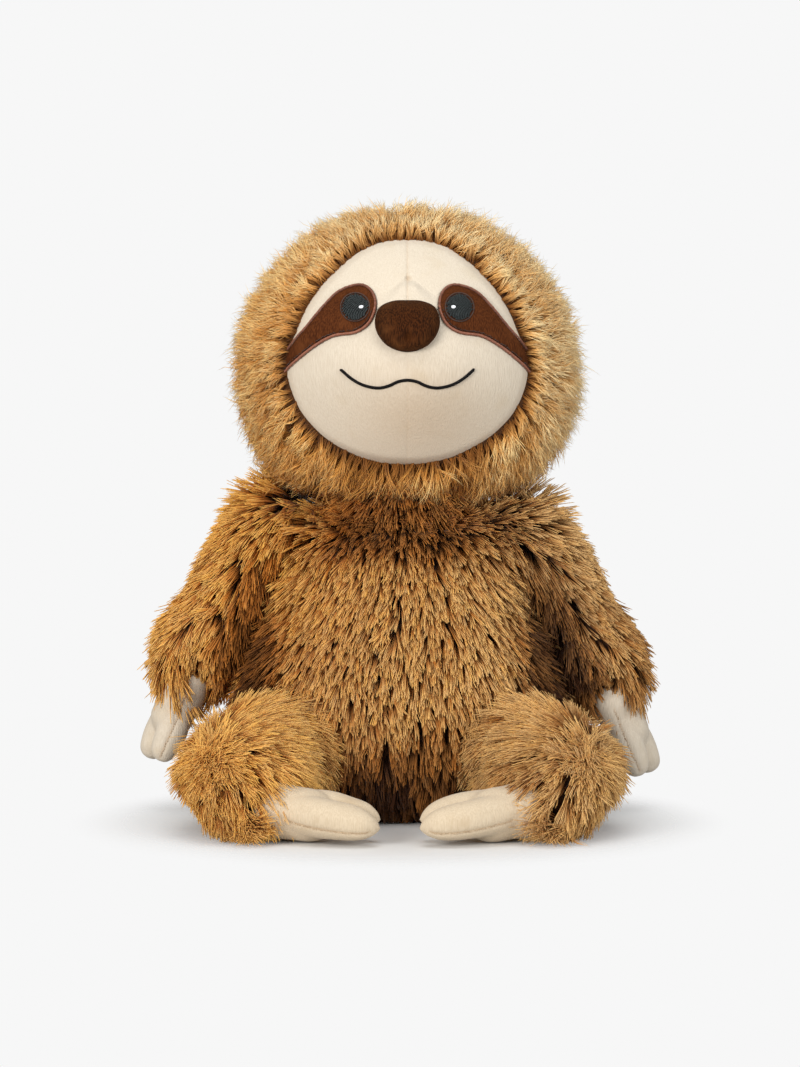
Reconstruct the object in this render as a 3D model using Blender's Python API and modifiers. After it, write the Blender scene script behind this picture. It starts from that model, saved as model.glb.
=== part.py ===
"""A sitting plush sloth, as a maker would sew and stuff it.

Metres, +Z up, the face looks along -Y, and left and right are the toy's own (left is +X).
The origin lies on the floor, in the middle of the flat seat.
Run it with: blender --background --python part.py
"""

import math

import bmesh
import bpy
from mathutils import Matrix, Vector

# Gaps and cloth
GAP = 0.0003
COVER_THICK = 0.008
VELOUR_THICK = 0.002
PATCH_THICK = 0.0010
BORDER_THICK = 0.0014
BORDER_WIDTH = 0.0018

# The body, a pear that widens to the seat
BODY_HEIGHT = 0.151
BODY_HALF_WIDTH = 0.081
BODY_FRONT = 0.070
BODY_BACK = 0.060
BASE_CUT = 0.0008

# The head, wider than it is tall
HEAD_BOTTOM = 0.1575
HEAD_HEIGHT = 0.144
HEAD_HALF_WIDTH = 0.0835
HEAD_FRONT = 0.070
HEAD_BACK = 0.063
HEAD_LEAN = 0.0035

# The ball of fibre in the neck
NECK_RADIUS = 0.024
NECK_HEIGHT = 0.152

# The cream face and what is sewn on it
FACE_HALF_WIDTH = 0.0590
FACE_HALF_HEIGHT = 0.0550
FACE_HEIGHT = 0.229
DOME_HALF_WIDTH = 0.076
DOME_HALF_HEIGHT = 0.072
DOME_DEPTH = 0.065
DOME_INSET = 0.002
DOME_HEIGHT = 0.222
MUZZLE_DEPTH = 0.006
MUZZLE_HEIGHT = 0.208
MUZZLE_SPREAD = 0.022
PATCH_HALF_WIDTH = 0.058
PATCH_HEIGHT = 0.041
PATCH_LEVEL = 0.2195
EYE_RADIUS = 0.0066
EYE_THICK = 0.0012
EYE_SPACING = 0.050
EYE_HEIGHT = 0.2497
CATCHLIGHT_RADIUS = 0.0013
CATCHLIGHT_THICK = 0.0006
CATCHLIGHT_INWARD = 0.0030
NOSE_HALF_WIDTH = 0.0150
NOSE_HALF_HEIGHT = 0.0120
NOSE_DEPTH = 0.011
NOSE_HEIGHT = 0.2405
MOUTH_HALF_WIDTH = 0.0315
MOUTH_DROP = 0.0085
MOUTH_HEIGHT = 0.2195
THREAD_RADIUS = 0.0006

# The arms, which hang at the sides
SHOULDER_OUT = 0.066
SHOULDER_HEIGHT = 0.1445
LEFT_SHOULDER_DROP = 0.007
ARM_OUT = 0.0405
ARM_LENGTH = 0.086
ARM_RADIUS = 0.0240
WRIST_RADIUS = 0.0115
HAND_LENGTH = 0.0350
HAND_OUT = 0.0130
HAND_FORWARD = 0.004
CLAW_RADIUS = 0.0080
CLAW_SPREAD = 0.0085

# The legs, which lie bent in front
LEG_OUT = 0.082
LEG_REACH = 0.104
LEG_RISE = 0.0350
LEG_RADIUS = 0.032
ANKLE_OUT = 0.061
ANKLE_REACH = 0.112
ANKLE_HEIGHT = 0.0155
ANKLE_RADIUS = 0.0140
FOOT_LENGTH = 0.0505
FOOT_TURN = 0.012
TOE_RADIUS = 0.0085
TOE_SPREAD = 0.0090
HIP_CLEARANCE = 0.0031
HIP_DENT_BACK = 0.018

# The weighted bag in the seat
BAG_RADIUS = 0.036
BAG_HALF_HEIGHT = 0.012

# How far the hip seam lets a leg rise, in degrees
LEG_LIFT_DEG = 25

# How far cutters reach past the toy and how deep they go in the head, and the marks on the axes
CUTTER_REACH = 0.160
CUTTER_DEPTH = 0.012
AXIS_MARK = 0.002

# Rings from the bottom up: height, width, front and back, as shares of the form's sizes
BODY_RING_SHARES = (
    (0.000, 0.26, 0.26, 0.26),
    (0.002, 0.54, 0.54, 0.54),
    (0.045, 0.78, 0.76, 0.76),
    (0.140, 0.93, 0.90, 0.92),
    (0.290, 1.00, 1.00, 1.00),
    (0.440, 0.95, 1.00, 0.99),
    (0.590, 0.86, 0.91, 0.90),
    (0.730, 0.745, 0.78, 0.80),
    (0.850, 0.69, 0.64, 0.68),
    (0.940, 0.62, 0.49, 0.52),
    (0.985, 0.42, 0.34, 0.36),
    (1.000, 0.14, 0.16, 0.16),
)
HEAD_RING_SHARES = (
    (0.000, 0.17, 0.17, 0.17),
    (0.025, 0.50, 0.50, 0.48),
    (0.115, 0.82, 0.82, 0.78),
    (0.240, 0.965, 0.96, 0.95),
    (0.400, 1.00, 1.00, 1.00),
    (0.570, 0.965, 0.97, 0.98),
    (0.745, 0.83, 0.82, 0.86),
    (0.880, 0.61, 0.59, 0.63),
    (0.970, 0.37, 0.36, 0.38),
    (1.000, 0.15, 0.15, 0.15),
)

# Stations along a limb after its round root: how far out, how far along, and the radius
ARM_STATION_SHARES = (
    (0.00, 0.00, 0.79),
    (0.34, 0.16, 0.80),
    (0.60, 0.45, 0.90),
    (0.83, 0.70, 0.97),
    (1.00, 0.91, 1.00),
    (1.06, 1.00, 0.84),
    (1.08, 1.02, 0.52),
)
LEG_STATION_SHARES = (
    (0.64, 0.40, 1.00, 0.92),
    (0.92, 0.60, 0.98, 0.98),
    (1.00, 0.80, 0.85, 0.99),
    (0.99, 1.00, 0.73, 0.86),
    (0.94, 1.12, 0.60, 0.66),
    (0.92, 1.16, 0.58, 0.36),
)

# Hand and foot: how far along, then how far apart for a claw or a toe, and the radius
HAND_PALM_SHARES = (
    (0.00, 1.00),
    (0.25, 0.90),
    (0.50, 0.90),
    (0.68, 0.55),
)
CLAW_STATION_SHARES = (
    (0.30, 0.38, 0.95),
    (0.62, 0.75, 0.98),
    (0.95, 0.75, 0.80),
    (1.08, 0.68, 0.45),
)
FOOT_PALM_SHARES = (
    (0.00, 1.00),
    (0.20, 0.90),
    (0.42, 0.86),
    (0.60, 0.50),
)
TOE_STATION_SHARES = (
    (0.22, 0.51, 0.98),
    (0.55, 0.85, 1.00),
    (0.85, 0.85, 0.85),
    (0.98, 0.77, 0.48),
)

# Outlines in the face's plane: across and up, as shares of the named half sizes
FACE_OUTLINE_SHARES = (
    (0.00, 1.00),
    (0.18, 0.985),
    (0.38, 0.90),
    (0.60, 0.70),
    (0.79, 0.45),
    (0.92, 0.17),
    (1.00, -0.10),
    (0.985, -0.32),
    (0.88, -0.58),
    (0.68, -0.79),
    (0.42, -0.93),
    (0.20, -0.985),
    (0.00, -1.00),
)
PATCH_OUTLINE_SHARES = (
    (0.235, 0.79),
    (0.285, 0.94),
    (0.385, 1.00),
    (0.560, 0.93),
    (0.695, 0.75),
    (0.825, 0.53),
    (0.930, 0.34),
    (1.010, 0.18),
    (1.000, -0.02),
    (0.890, 0.14),
    (0.760, 0.30),
    (0.620, 0.44),
    (0.440, 0.50),
    (0.325, 0.59),
)
NOSE_OUTLINE_SHARES = (
    (0.00, 1.00),
    (0.45, 0.98),
    (0.83, 0.76),
    (1.00, 0.28),
    (0.90, -0.24),
    (0.62, -0.70),
    (0.30, -0.95),
    (0.00, -1.02),
)
MOUTH_SHARES = (
    (0.00, 0.42),
    (0.14, 0.34),
    (0.27, 0.12),
    (0.40, 0.00),
    (0.53, 0.02),
    (0.70, 0.20),
    (0.86, 0.55),
    (1.00, 1.00),
)

# Rings of a small stuffed piece, back to front: size and height as shares
CUSHION_RING_SHARES = (
    (0.50, 0.00),
    (0.93, 0.00),
    (1.00, 0.25),
    (0.96, 0.55),
    (0.80, 0.82),
    (0.50, 0.97),
)
DISC_RING_SHARES = (
    (0.50, 0.00),
    (1.00, 0.00),
    (1.00, 0.70),
    (0.80, 1.00),
)

# The rings of a round root, in degrees from its equator
ROOT_RING_DEGREES = (80, 52, 26)

# Facet counts
BODY_SIDES = 12
LIMB_SIDES = 8
CLAW_SIDES = 6
BALL_SEGMENTS = 20
BALL_RINGS = 14
DISC_SIDES = 16
FACE_GRID = 12

# Colours
FUR_HEAD = (0.60, 0.38, 0.16)
FUR_BODY = (0.42, 0.20, 0.07)
CREAM = (0.87, 0.77, 0.62)
VELOUR_BROWN = (0.13, 0.045, 0.018)
STITCH_BROWN = (0.28, 0.11, 0.06)
CHARCOAL = (0.015, 0.021, 0.024)
WHITE = (0.85, 0.87, 0.90)
NOSE_BROWN = (0.10, 0.032, 0.012)
THREAD_BLACK = (0.012, 0.010, 0.012)
FIBRE_WHITE = (0.80, 0.80, 0.78)
BAG_GREY = (0.35, 0.35, 0.33)


def clear_scene():
    for obj in list(bpy.data.objects):
        bpy.data.objects.remove(obj, do_unlink=True)


clear_scene()
toy = bpy.data.collections.new("plush_sloth")
cutters = bpy.data.collections.new("cutters")
bpy.context.scene.collection.children.link(toy)
bpy.context.scene.collection.children.link(cutters)


def material(name, colour, rough=0.9):
    made = bpy.data.materials.new(name)
    made.use_nodes = True
    shader = made.node_tree.nodes["Principled BSDF"]
    shader.inputs["Base Color"].default_value = (*colour, 1.0)
    shader.inputs["Roughness"].default_value = rough
    shader.inputs["Metallic"].default_value = 0.0
    return made


def add_object(name, mesh, colour=None, rough=0.9):
    """A piece of the toy when it has a colour, and otherwise a cutter."""
    obj = bpy.data.objects.new(name, mesh)
    if colour is None:
        obj.hide_render = True
        obj.display_type = "WIRE"
        cutters.objects.link(obj)
        return obj
    toy.objects.link(obj)
    mesh.materials.append(material(name, colour, rough))
    if hasattr(mesh, "shade_smooth"):
        mesh.shade_smooth()
    return obj


def pivot(name, place, parent=None):
    """An empty on a joint's axis, which carries the pieces that turn about it."""
    empty = bpy.data.objects.new(name, None)
    empty.empty_display_size = AXIS_MARK
    toy.objects.link(empty)
    empty["world_place"] = tuple(place)
    empty.location = Vector(place) - (Vector(parent["world_place"]) if parent else Vector())
    empty.parent = parent
    return empty


def carry(obj, empty):
    """Hangs a piece on a pivot, with the pivot as the piece's own origin."""
    obj.data.transform(Matrix.Translation(-Vector(empty["world_place"])))
    obj.parent = empty


def boolean(obj, cutter, operation="DIFFERENCE"):
    modifier = obj.modifiers.new(cutter.name, "BOOLEAN")
    modifier.operation = operation
    modifier.object = cutter
    modifier.use_self = operation == "INTERSECT"


def subdivide(obj):
    modifier = obj.modifiers.new("soft form", "SUBSURF")
    modifier.levels = 1
    modifier.render_levels = 1


def mesh_of(name, bm):
    bmesh.ops.recalc_face_normals(bm, faces=bm.faces)
    mesh = bpy.data.meshes.new(name)
    bm.to_mesh(mesh)
    bm.free()
    return mesh


def bridge(bm, first, second):
    count = len(first)
    for i in range(count):
        after = (i + 1) % count
        bm.faces.new((first[i], first[after], second[after], second[i]))


def loft(name, rings, split=False):
    """A closed mesh through rings of points, with a flat cap at each end. split cuts it in triangles."""
    bm = bmesh.new()
    loops = [[bm.verts.new(point) for point in ring] for ring in rings]
    for first, second in zip(loops, loops[1:]):
        bridge(bm, first, second)
    bm.faces.new(loops[0])
    bm.faces.new(loops[-1])
    if split:
        bmesh.ops.triangulate(bm, faces=list(bm.faces), quad_method="FIXED")
    return mesh_of(name, bm)


def swell(sides):
    """How much larger the cage of a subdivided ring is, so that the smooth ring keeps its radius."""
    return 1 / math.cos(math.pi / sides)


def ellipse_ring(centre, across, deep, sides, soft=True):
    grow = swell(sides) if soft else 1
    turns = [math.tau * i / sides for i in range(sides)]
    return [centre + grow * (math.cos(a) * across + math.sin(a) * deep) for a in turns]


# The swollen forms of body and head


def upright_rings(shares, bottom, height, half_width, front, back, lean, inset):
    """Rings of a pear or a ball that stands on the Z axis, drawn in by inset all round."""
    soft = inset == 0
    middle = bottom + height / 2
    rings = []
    for level, width, ahead, behind in shares:
        z = middle + (level * height - height / 2) * (1 - 2 * inset / height)
        near = ahead * (front - inset)
        far = behind * (back - inset)
        centre = Vector((lean, (far - near) / 2, z))
        across = Vector((width * (half_width - inset), 0, 0))
        deep = Vector((0, (near + far) / 2, 0))
        rings.append(ellipse_ring(centre, across, deep, BODY_SIDES, soft))
    return rings


def body_rings(inset):
    return upright_rings(
        BODY_RING_SHARES, -BASE_CUT, BODY_HEIGHT, BODY_HALF_WIDTH, BODY_FRONT, BODY_BACK, 0, inset
    )


def head_rings(inset):
    return upright_rings(
        HEAD_RING_SHARES, HEAD_BOTTOM, HEAD_HEIGHT, HEAD_HALF_WIDTH, HEAD_FRONT, HEAD_BACK, HEAD_LEAN, inset
    )


def form(name, rings, colour=None):
    """A soft form, rounded by subdivision."""
    obj = add_object(name, loft(name, rings), colour)
    subdivide(obj)
    return obj


def inner_form(name, rings, colour=None):
    """A hollow or a filling, left plain because a cover hides it.

    Its faces are split alike in both, so that their gap stays even.
    """
    return add_object(name, loft(name, rings, True), colour)


# Limbs: a round root on the joint, then stations along a path


def root_rings(centre, along, across, radius, sides, soft=True):
    """The back half of a ball about a joint, as rings."""
    deep = along.cross(across)
    rings = []
    for degrees in ROOT_RING_DEGREES:
        angle = math.radians(degrees)
        place = centre - along * radius * math.sin(angle)
        reach = radius * math.cos(angle)
        rings.append(ellipse_ring(place, across * reach, deep * reach, sides, soft))
    return rings


def limb_rings(stations, level, inset, sides=LIMB_SIDES):
    """Rings along a limb. level is the direction that each ring's first axis is square to.

    A limb drawn in by inset has one ring less at its end, where the rings would cross.
    """
    soft = inset == 0
    if not soft:
        stations = stations[:-2] + stations[-1:]
    points = [place for place, _ in stations]
    rings = []
    for i, (place, radius) in enumerate(stations):
        before = points[max(i - 1, 0)]
        after = points[min(i + 1, len(points) - 1)]
        along = (after - before).normalized()
        across = level.cross(along).normalized()
        size = radius - inset
        if i == 0:
            rings += root_rings(place, along, across, size, sides, soft)
        if i == len(stations) - 1:
            place = place - along * inset
        deep = along.cross(across)
        rings.append(ellipse_ring(place, across * size, deep * size, sides, soft))
    return rings


def shoulder(side):
    drop = LEFT_SHOULDER_DROP if side > 0 else 0
    return Vector((side * SHOULDER_OUT, 0, SHOULDER_HEIGHT - drop))


def arm_stations(side):
    root = shoulder(side)
    return [
        (root + Vector((side * out * ARM_OUT, 0, -down * ARM_LENGTH)), size * ARM_RADIUS)
        for out, down, size in ARM_STATION_SHARES
    ]


def wrist(side):
    return arm_stations(side)[-2][0]


def leg_stations(side):
    return [
        (Vector((side * out * LEG_OUT, -reach * LEG_REACH, rise * LEG_RISE)), size * LEG_RADIUS)
        for out, reach, rise, size in LEG_STATION_SHARES
    ]


def hip(side):
    return leg_stations(side)[0][0]


def ankle(side):
    return Vector((side * ANKLE_OUT, -ANKLE_REACH, ANKLE_HEIGHT))


def arm_rings(side, inset):
    return limb_rings(arm_stations(side), Vector((0, 1, 0)), inset)


def leg_rings(side, inset):
    return limb_rings(leg_stations(side), Vector((0, 0, 1)), inset)


# Cutters that several pieces share


def ball_mesh(name, centre, radius):
    bm = bmesh.new()
    bmesh.ops.create_uvsphere(bm, u_segments=BALL_SEGMENTS, v_segments=BALL_RINGS, radius=radius)
    bmesh.ops.translate(bm, verts=bm.verts, vec=centre)
    return mesh_of(name, bm)


def socket(name, centre, radius):
    """A round hollow whose facets clear a ball of this radius however the ball is turned."""
    flats = math.cos(math.pi / BALL_SEGMENTS) * math.cos(math.pi / BALL_RINGS / 2)
    return add_object(name, ball_mesh(name, centre, (radius + GAP) / flats))


def root_socket(name, centre, radius):
    """A round hollow for a limb's subdivided root, which lies a little inside its own radius."""
    return add_object(name, ball_mesh(name, centre, radius + GAP))


def floor_cutter():
    bm = bmesh.new()
    bmesh.ops.create_cube(bm, size=1)
    bmesh.ops.scale(bm, verts=bm.verts, vec=Vector((2, 2, 1)) * CUTTER_REACH)
    bmesh.ops.translate(bm, verts=bm.verts, vec=Vector((0, 0, -CUTTER_REACH / 2)))
    return add_object("floor_cutter", mesh_of("floor_cutter", bm))


def hip_dent(side, name):
    """The dent that a thigh presses in the body: a turned shape about the hip's axis, which holds the
    thigh as it swings. It is cut away behind the axis, where the root's own hollow fits."""
    (root, radius), (thigh, thigh_radius) = leg_stations(side)[:2]
    out = Vector((side, 0, 0))
    across = Vector((0, 1, 0))
    deep = out.cross(across)
    round_off = 1 / math.cos(math.pi / BALL_SEGMENTS)
    size = (radius + HIP_CLEARANCE) * round_off
    rings = root_rings(root, out, across, size, BALL_SEGMENTS, False)
    limits = [root.y + GAP] * len(rings) + [root.y + HIP_DENT_BACK] * 3
    rings.append(ellipse_ring(root, across * size, deep * size, BALL_SEGMENTS, False))
    lifted = math.radians(LEG_LIFT_DEG)
    offset = thigh - root
    reach = -offset.y * math.sin(lifted) + offset.z * math.cos(lifted)
    square = thigh_radius**2 - offset.y**2 - offset.z**2 + reach**2
    size = (reach + math.sqrt(max(0, square)) + HIP_CLEARANCE) * round_off
    for place in (Vector((thigh.x, root.y, root.z)), Vector((2 * thigh.x - root.x, root.y, root.z))):
        rings.append(ellipse_ring(place, across * size, deep * size, BALL_SEGMENTS, False))
    for ring, limit in zip(rings, limits):
        for point in ring:
            point.y = min(point.y, limit)
    return add_object(f"hip_dent_{name}", loft(f"hip_dent_{name}", rings))


def hip_cutters(side, name):
    root, radius = leg_stations(side)[0]
    return [root_socket(f"hip_socket_{name}", root, radius), hip_dent(side, name)]


# The face's surface, and pieces that lie on it


def face_depth(x, z):
    """How far in front of the Z axis the velour lies: a dome with a muzzle low on it."""
    across = (x - HEAD_LEAN) / DOME_HALF_WIDTH
    up = (z - DOME_HEIGHT) / DOME_HALF_HEIGHT
    dome = DOME_DEPTH * math.sqrt(max(0, 1 - across * across - up * up))
    spread = math.hypot(x - HEAD_LEAN, z - MUZZLE_HEIGHT) / MUZZLE_SPREAD
    return DOME_INSET + dome + MUZZLE_DEPTH * math.exp(-spread * spread / 2)


def on_face(x, z, lift):
    return Vector((x, -face_depth(x, z) - lift, z))


def smooth_outline(points, closed, steps=3):
    """Points on a smooth curve through these, so that an outline keeps only the points it needs."""
    count = len(points)
    made = []
    spans = count if closed else count - 1
    for i in range(spans):
        around = [i - 1, i, i + 1, i + 2]
        picked = [points[j % count] if closed else points[min(max(j, 0), count - 1)] for j in around]
        a, b, c, d = (Vector(point) for point in picked)
        for step in range(steps):
            t = step / steps
            bend = (2 * a - 5 * b + 4 * c - d) * t * t + (3 * b - a - 3 * c + d) * t * t * t
            made.append(0.5 * (2 * b + (c - a) * t + bend))
    if not closed:
        made.append(Vector(points[-1]))
    return made


def grown(outline, by):
    """The closed outline moved outwards by a length, or inwards by a negative one."""
    count = len(outline)
    area = sum(outline[i - 1].cross(outline[i]) for i in range(count))
    turn = 1 if area > 0 else -1
    made = []
    for i in range(count):
        along = (outline[(i + 1) % count] - outline[i - 1]).normalized()
        made.append(outline[i] + Vector((along.y, -along.x)) * turn * by)
    return made


def prism(name, outline):
    """A cutter with this outline, deep enough to pass through all that lies on the face."""
    bm = bmesh.new()
    face = bm.faces.new([bm.verts.new((x, -CUTTER_REACH, z)) for x, z in outline])
    grew = bmesh.ops.extrude_face_region(bm, geom=[face])
    moved = [item for item in grew["geom"] if isinstance(item, bmesh.types.BMVert)]
    bmesh.ops.translate(bm, verts=moved, vec=Vector((0, CUTTER_REACH - CUTTER_DEPTH, 0)))
    return add_object(name, mesh_of(name, bm))


def face_slab(name, lift, thick, colour, left, right, low, high):
    """A sheet that follows the face, from lift in front of it to thick behind that."""
    bm = bmesh.new()
    bmesh.ops.create_grid(bm, x_segments=FACE_GRID, y_segments=FACE_GRID, size=1)
    for vert in bm.verts:
        x = left + (vert.co.x + 1) / 2 * (right - left)
        z = low + (vert.co.y + 1) / 2 * (high - low)
        vert.co = on_face(x, z, lift)
    grew = bmesh.ops.extrude_face_region(bm, geom=list(bm.faces))
    moved = [item for item in grew["geom"] if isinstance(item, bmesh.types.BMVert)]
    bmesh.ops.translate(bm, verts=moved, vec=Vector((0, thick, 0)))
    return add_object(name, mesh_of(name, bm), colour)


def cushion(name, outline, centre, lift, height, shares, colour, rough=0.9):
    """A small stuffed piece whose back follows the face and whose front is domed."""
    middle = Vector(centre)
    rings = []
    for size, rise in shares:
        ring = [middle + (point - middle) * size for point in outline]
        rings.append([on_face(x, z, lift + rise * height) for x, z in ring])
    return add_object(name, loft(name, rings), colour, rough)


def disc_outline(centre, radius):
    turns = [math.tau * i / DISC_SIDES for i in range(DISC_SIDES)]
    return [Vector(centre) + radius * Vector((math.cos(a), math.sin(a))) for a in turns]


def face_outline():
    """The whole outline of the face, its right half mirrored from its left."""
    half = [(x * FACE_HALF_WIDTH, z * FACE_HALF_HEIGHT) for x, z in FACE_OUTLINE_SHARES]
    whole = half + [(-x, z) for x, z in half[-2:0:-1]]
    return [Vector((HEAD_LEAN + x, FACE_HEIGHT + z)) for x, z in smooth_outline(whole, True, 2)]


def side_only(name, side):
    """A cutter for one side of the centre seam, with the seam's half gap left open."""
    near = HEAD_LEAN + side * GAP / 2
    far = HEAD_LEAN + side * CUTTER_REACH
    low, high = 0, HEAD_BOTTOM + CUTTER_REACH
    return prism(name, [Vector((near, low)), Vector((far, low)), Vector((far, high)), Vector((near, high))])


def patch_outline(side):
    half = [
        (HEAD_LEAN + side * x * PATCH_HALF_WIDTH, PATCH_LEVEL + z * PATCH_HEIGHT)
        for x, z in PATCH_OUTLINE_SHARES
    ]
    return smooth_outline(half, True, 2)


# Pieces of the body


def make_body(hollows):
    cover = form("body_cover", body_rings(0), FUR_BODY)
    boolean(cover, inner_form("body_inside", body_rings(COVER_THICK)))
    filling = inner_form("body_filling", body_rings(COVER_THICK + GAP), FIBRE_WHITE)
    for piece in (cover, filling):
        for cutter in hollows:
            boolean(piece, cutter)
    boolean(cover, floor)
    boolean(filling, bag_shape("bag_pocket", GAP))
    bag = bag_shape("pellet_bag", 0, BAG_GREY)
    carry(cover, seat)
    carry(filling, seat)
    carry(bag, seat)


def bag_shape(name, grow, colour=None):
    """A flattened round bag that lies on the cover's floor."""
    bm = bmesh.new()
    bmesh.ops.create_uvsphere(bm, u_segments=DISC_SIDES, v_segments=BALL_RINGS, radius=1)
    size = Vector((BAG_RADIUS + grow, BAG_RADIUS + grow, BAG_HALF_HEIGHT + grow))
    bmesh.ops.scale(bm, verts=bm.verts, vec=size)
    level = COVER_THICK - BASE_CUT + GAP + BAG_HALF_HEIGHT
    bmesh.ops.translate(bm, verts=bm.verts, vec=Vector((0, 0, level)))
    return add_object(name, mesh_of(name, bm), colour)


# Pieces of the head


def make_head():
    outline = face_outline()
    cover = form("head_cover", head_rings(0), FUR_HEAD)
    boolean(cover, inner_form("head_inside", head_rings(COVER_THICK)))
    filling = inner_form("head_filling", head_rings(COVER_THICK + GAP), FIBRE_WHITE)
    boolean(cover, neck_socket)
    boolean(filling, neck_socket)
    boolean(cover, prism("face_opening", outline))
    carry(cover, nod)
    carry(filling, nod)
    panel = prism("face_panel", grown(outline, -GAP))
    for side, name in SIDES:
        make_face_half(side, name, panel)
    make_nose()
    make_mouth()


def make_face_half(side, name, panel):
    edge = FACE_HALF_WIDTH + GAP
    low = FACE_HEIGHT - FACE_HALF_HEIGHT - GAP
    high = FACE_HEIGHT + FACE_HALF_HEIGHT + GAP
    left, right = HEAD_LEAN - edge, HEAD_LEAN + edge
    half = side_only(f"seam_{name}", side)
    velour = face_slab(f"face_{name}", 0, VELOUR_THICK, CREAM, left, right, low, high)
    boolean(velour, panel, "INTERSECT")
    boolean(velour, half, "INTERSECT")
    outline = patch_outline(side)
    inner = prism(f"patch_inner_{name}", grown(outline, -BORDER_WIDTH / 2))
    outer = prism(f"patch_outer_{name}", grown(outline, BORDER_WIDTH / 2))
    patch_edge = prism(f"patch_edge_{name}", grown(outline, -BORDER_WIDTH / 2 - GAP))
    lift = GAP + BORDER_THICK
    border = face_slab(f"patch_border_{name}", lift, BORDER_THICK, STITCH_BROWN, left, right, low, high)
    boolean(border, outer, "INTERSECT")
    boolean(border, inner)
    boolean(border, panel, "INTERSECT")
    lift = GAP + PATCH_THICK
    patch = face_slab(f"eye_patch_{name}", lift, PATCH_THICK, VELOUR_BROWN, left, right, low, high)
    boolean(patch, patch_edge, "INTERSECT")
    boolean(patch, panel, "INTERSECT")
    eye_at = (HEAD_LEAN + side * EYE_SPACING / 2, EYE_HEIGHT)
    lift = 2 * GAP + PATCH_THICK
    outline = disc_outline(eye_at, EYE_RADIUS)
    eye = cushion(f"eye_{name}", outline, eye_at, lift, EYE_THICK, DISC_RING_SHARES, CHARCOAL, 0.5)
    spot_at = (eye_at[0] - side * CATCHLIGHT_INWARD, EYE_HEIGHT)
    lift += EYE_THICK + GAP
    outline = disc_outline(spot_at, CATCHLIGHT_RADIUS)
    spot = cushion(
        f"catchlight_{name}", outline, spot_at, lift, CATCHLIGHT_THICK, DISC_RING_SHARES, WHITE, 0.4
    )
    for piece in (velour, border, patch, eye, spot):
        carry(piece, nod)


def make_nose():
    half = [(x * NOSE_HALF_WIDTH, z * NOSE_HALF_HEIGHT) for x, z in NOSE_OUTLINE_SHARES]
    whole = half + [(-x, z) for x, z in half[-2:0:-1]]
    centre = (HEAD_LEAN, NOSE_HEIGHT)
    outline = [Vector(centre) + point for point in smooth_outline(whole, True, 2)]
    nose = cushion("nose", outline, centre, GAP, NOSE_DEPTH, CUSHION_RING_SHARES, NOSE_BROWN)
    carry(nose, nod)


def make_mouth():
    """The embroidered line: a thin thread tube that lies on the velour."""
    half = [(x * MOUTH_HALF_WIDTH, (z - 1) * MOUTH_DROP) for x, z in MOUTH_SHARES]
    whole = [(-x, z) for x, z in half[:0:-1]] + half
    curve = bpy.data.curves.new("mouth", "CURVE")
    curve.dimensions = "3D"
    curve.bevel_depth = THREAD_RADIUS
    curve.bevel_resolution = 1
    curve.use_fill_caps = True
    line = smooth_outline(whole, False, 2)
    spline = curve.splines.new("POLY")
    spline.points.add(len(line) - 1)
    for point, (x, z) in zip(spline.points, line):
        place = on_face(HEAD_LEAN + x, MOUTH_HEIGHT + z, GAP + THREAD_RADIUS)
        point.co = (*place, 1)
    mouth = add_object("mouth", curve, THREAD_BLACK, 0.6)
    carry(mouth, nod)


# Arms and hands, legs and feet


def taper(stations, level, name, colour=None):
    """A rounded limb without an inset, such as a claw."""
    return form(name, limb_rings(stations, level, 0, CLAW_SIDES), colour)


def make_arm(side, name):
    lift = pivot(f"arm_lift_{name}_axis", shoulder(side), seat)
    bend = pivot(f"wrist_bend_{name}_axis", wrist(side), lift)
    cuff = socket(f"cuff_{name}", wrist(side), WRIST_RADIUS)
    cover = form(f"arm_cover_{name}", arm_rings(side, 0), FUR_BODY)
    boolean(cover, inner_form(f"arm_inside_{name}", arm_rings(side, COVER_THICK)))
    filling = inner_form(f"arm_filling_{name}", arm_rings(side, COVER_THICK + GAP), FIBRE_WHITE)
    for piece in (cover, filling):
        boolean(piece, cuff)
        carry(piece, lift)
    carry(make_hand(side, name), bend)


def make_hand(side, name):
    """A palm that grows out of the cuff, with two claws, one in front of the other."""
    start = wrist(side)
    down = Vector((side * HAND_OUT, -HAND_FORWARD, -HAND_LENGTH + WRIST_RADIUS / 2))
    apart = Vector((side * CLAW_SPREAD / 2, CLAW_SPREAD, 0))
    level = Vector((0, 1, 0))
    palm = [(start + along * down, size * WRIST_RADIUS) for along, size in HAND_PALM_SHARES]
    hand = taper(palm, level, f"hand_{name}", CREAM)
    for claw, sign in (("front", -1), ("rear", 1)):
        stations = [
            (start + along * down + sign * spread * apart, size * CLAW_RADIUS)
            for along, spread, size in CLAW_STATION_SHARES
        ]
        boolean(hand, taper(stations, level, f"claw_{claw}_{name}"), "UNION")
    return hand


def make_leg(side, name):
    lift = pivot(f"leg_lift_{name}_axis", hip(side), seat)
    bend = pivot(f"ankle_bend_{name}_axis", ankle(side), lift)
    cuff = socket(f"ankle_cuff_{name}", ankle(side), ANKLE_RADIUS)
    cover = form(f"leg_cover_{name}", leg_rings(side, 0), FUR_BODY)
    boolean(cover, inner_form(f"leg_inside_{name}", leg_rings(side, COVER_THICK)))
    filling = inner_form(f"leg_filling_{name}", leg_rings(side, COVER_THICK + GAP), FIBRE_WHITE)
    for piece in (cover, filling):
        boolean(piece, cuff)
        carry(piece, lift)
    boolean(cover, floor)
    carry(make_foot(side, name), bend)


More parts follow.
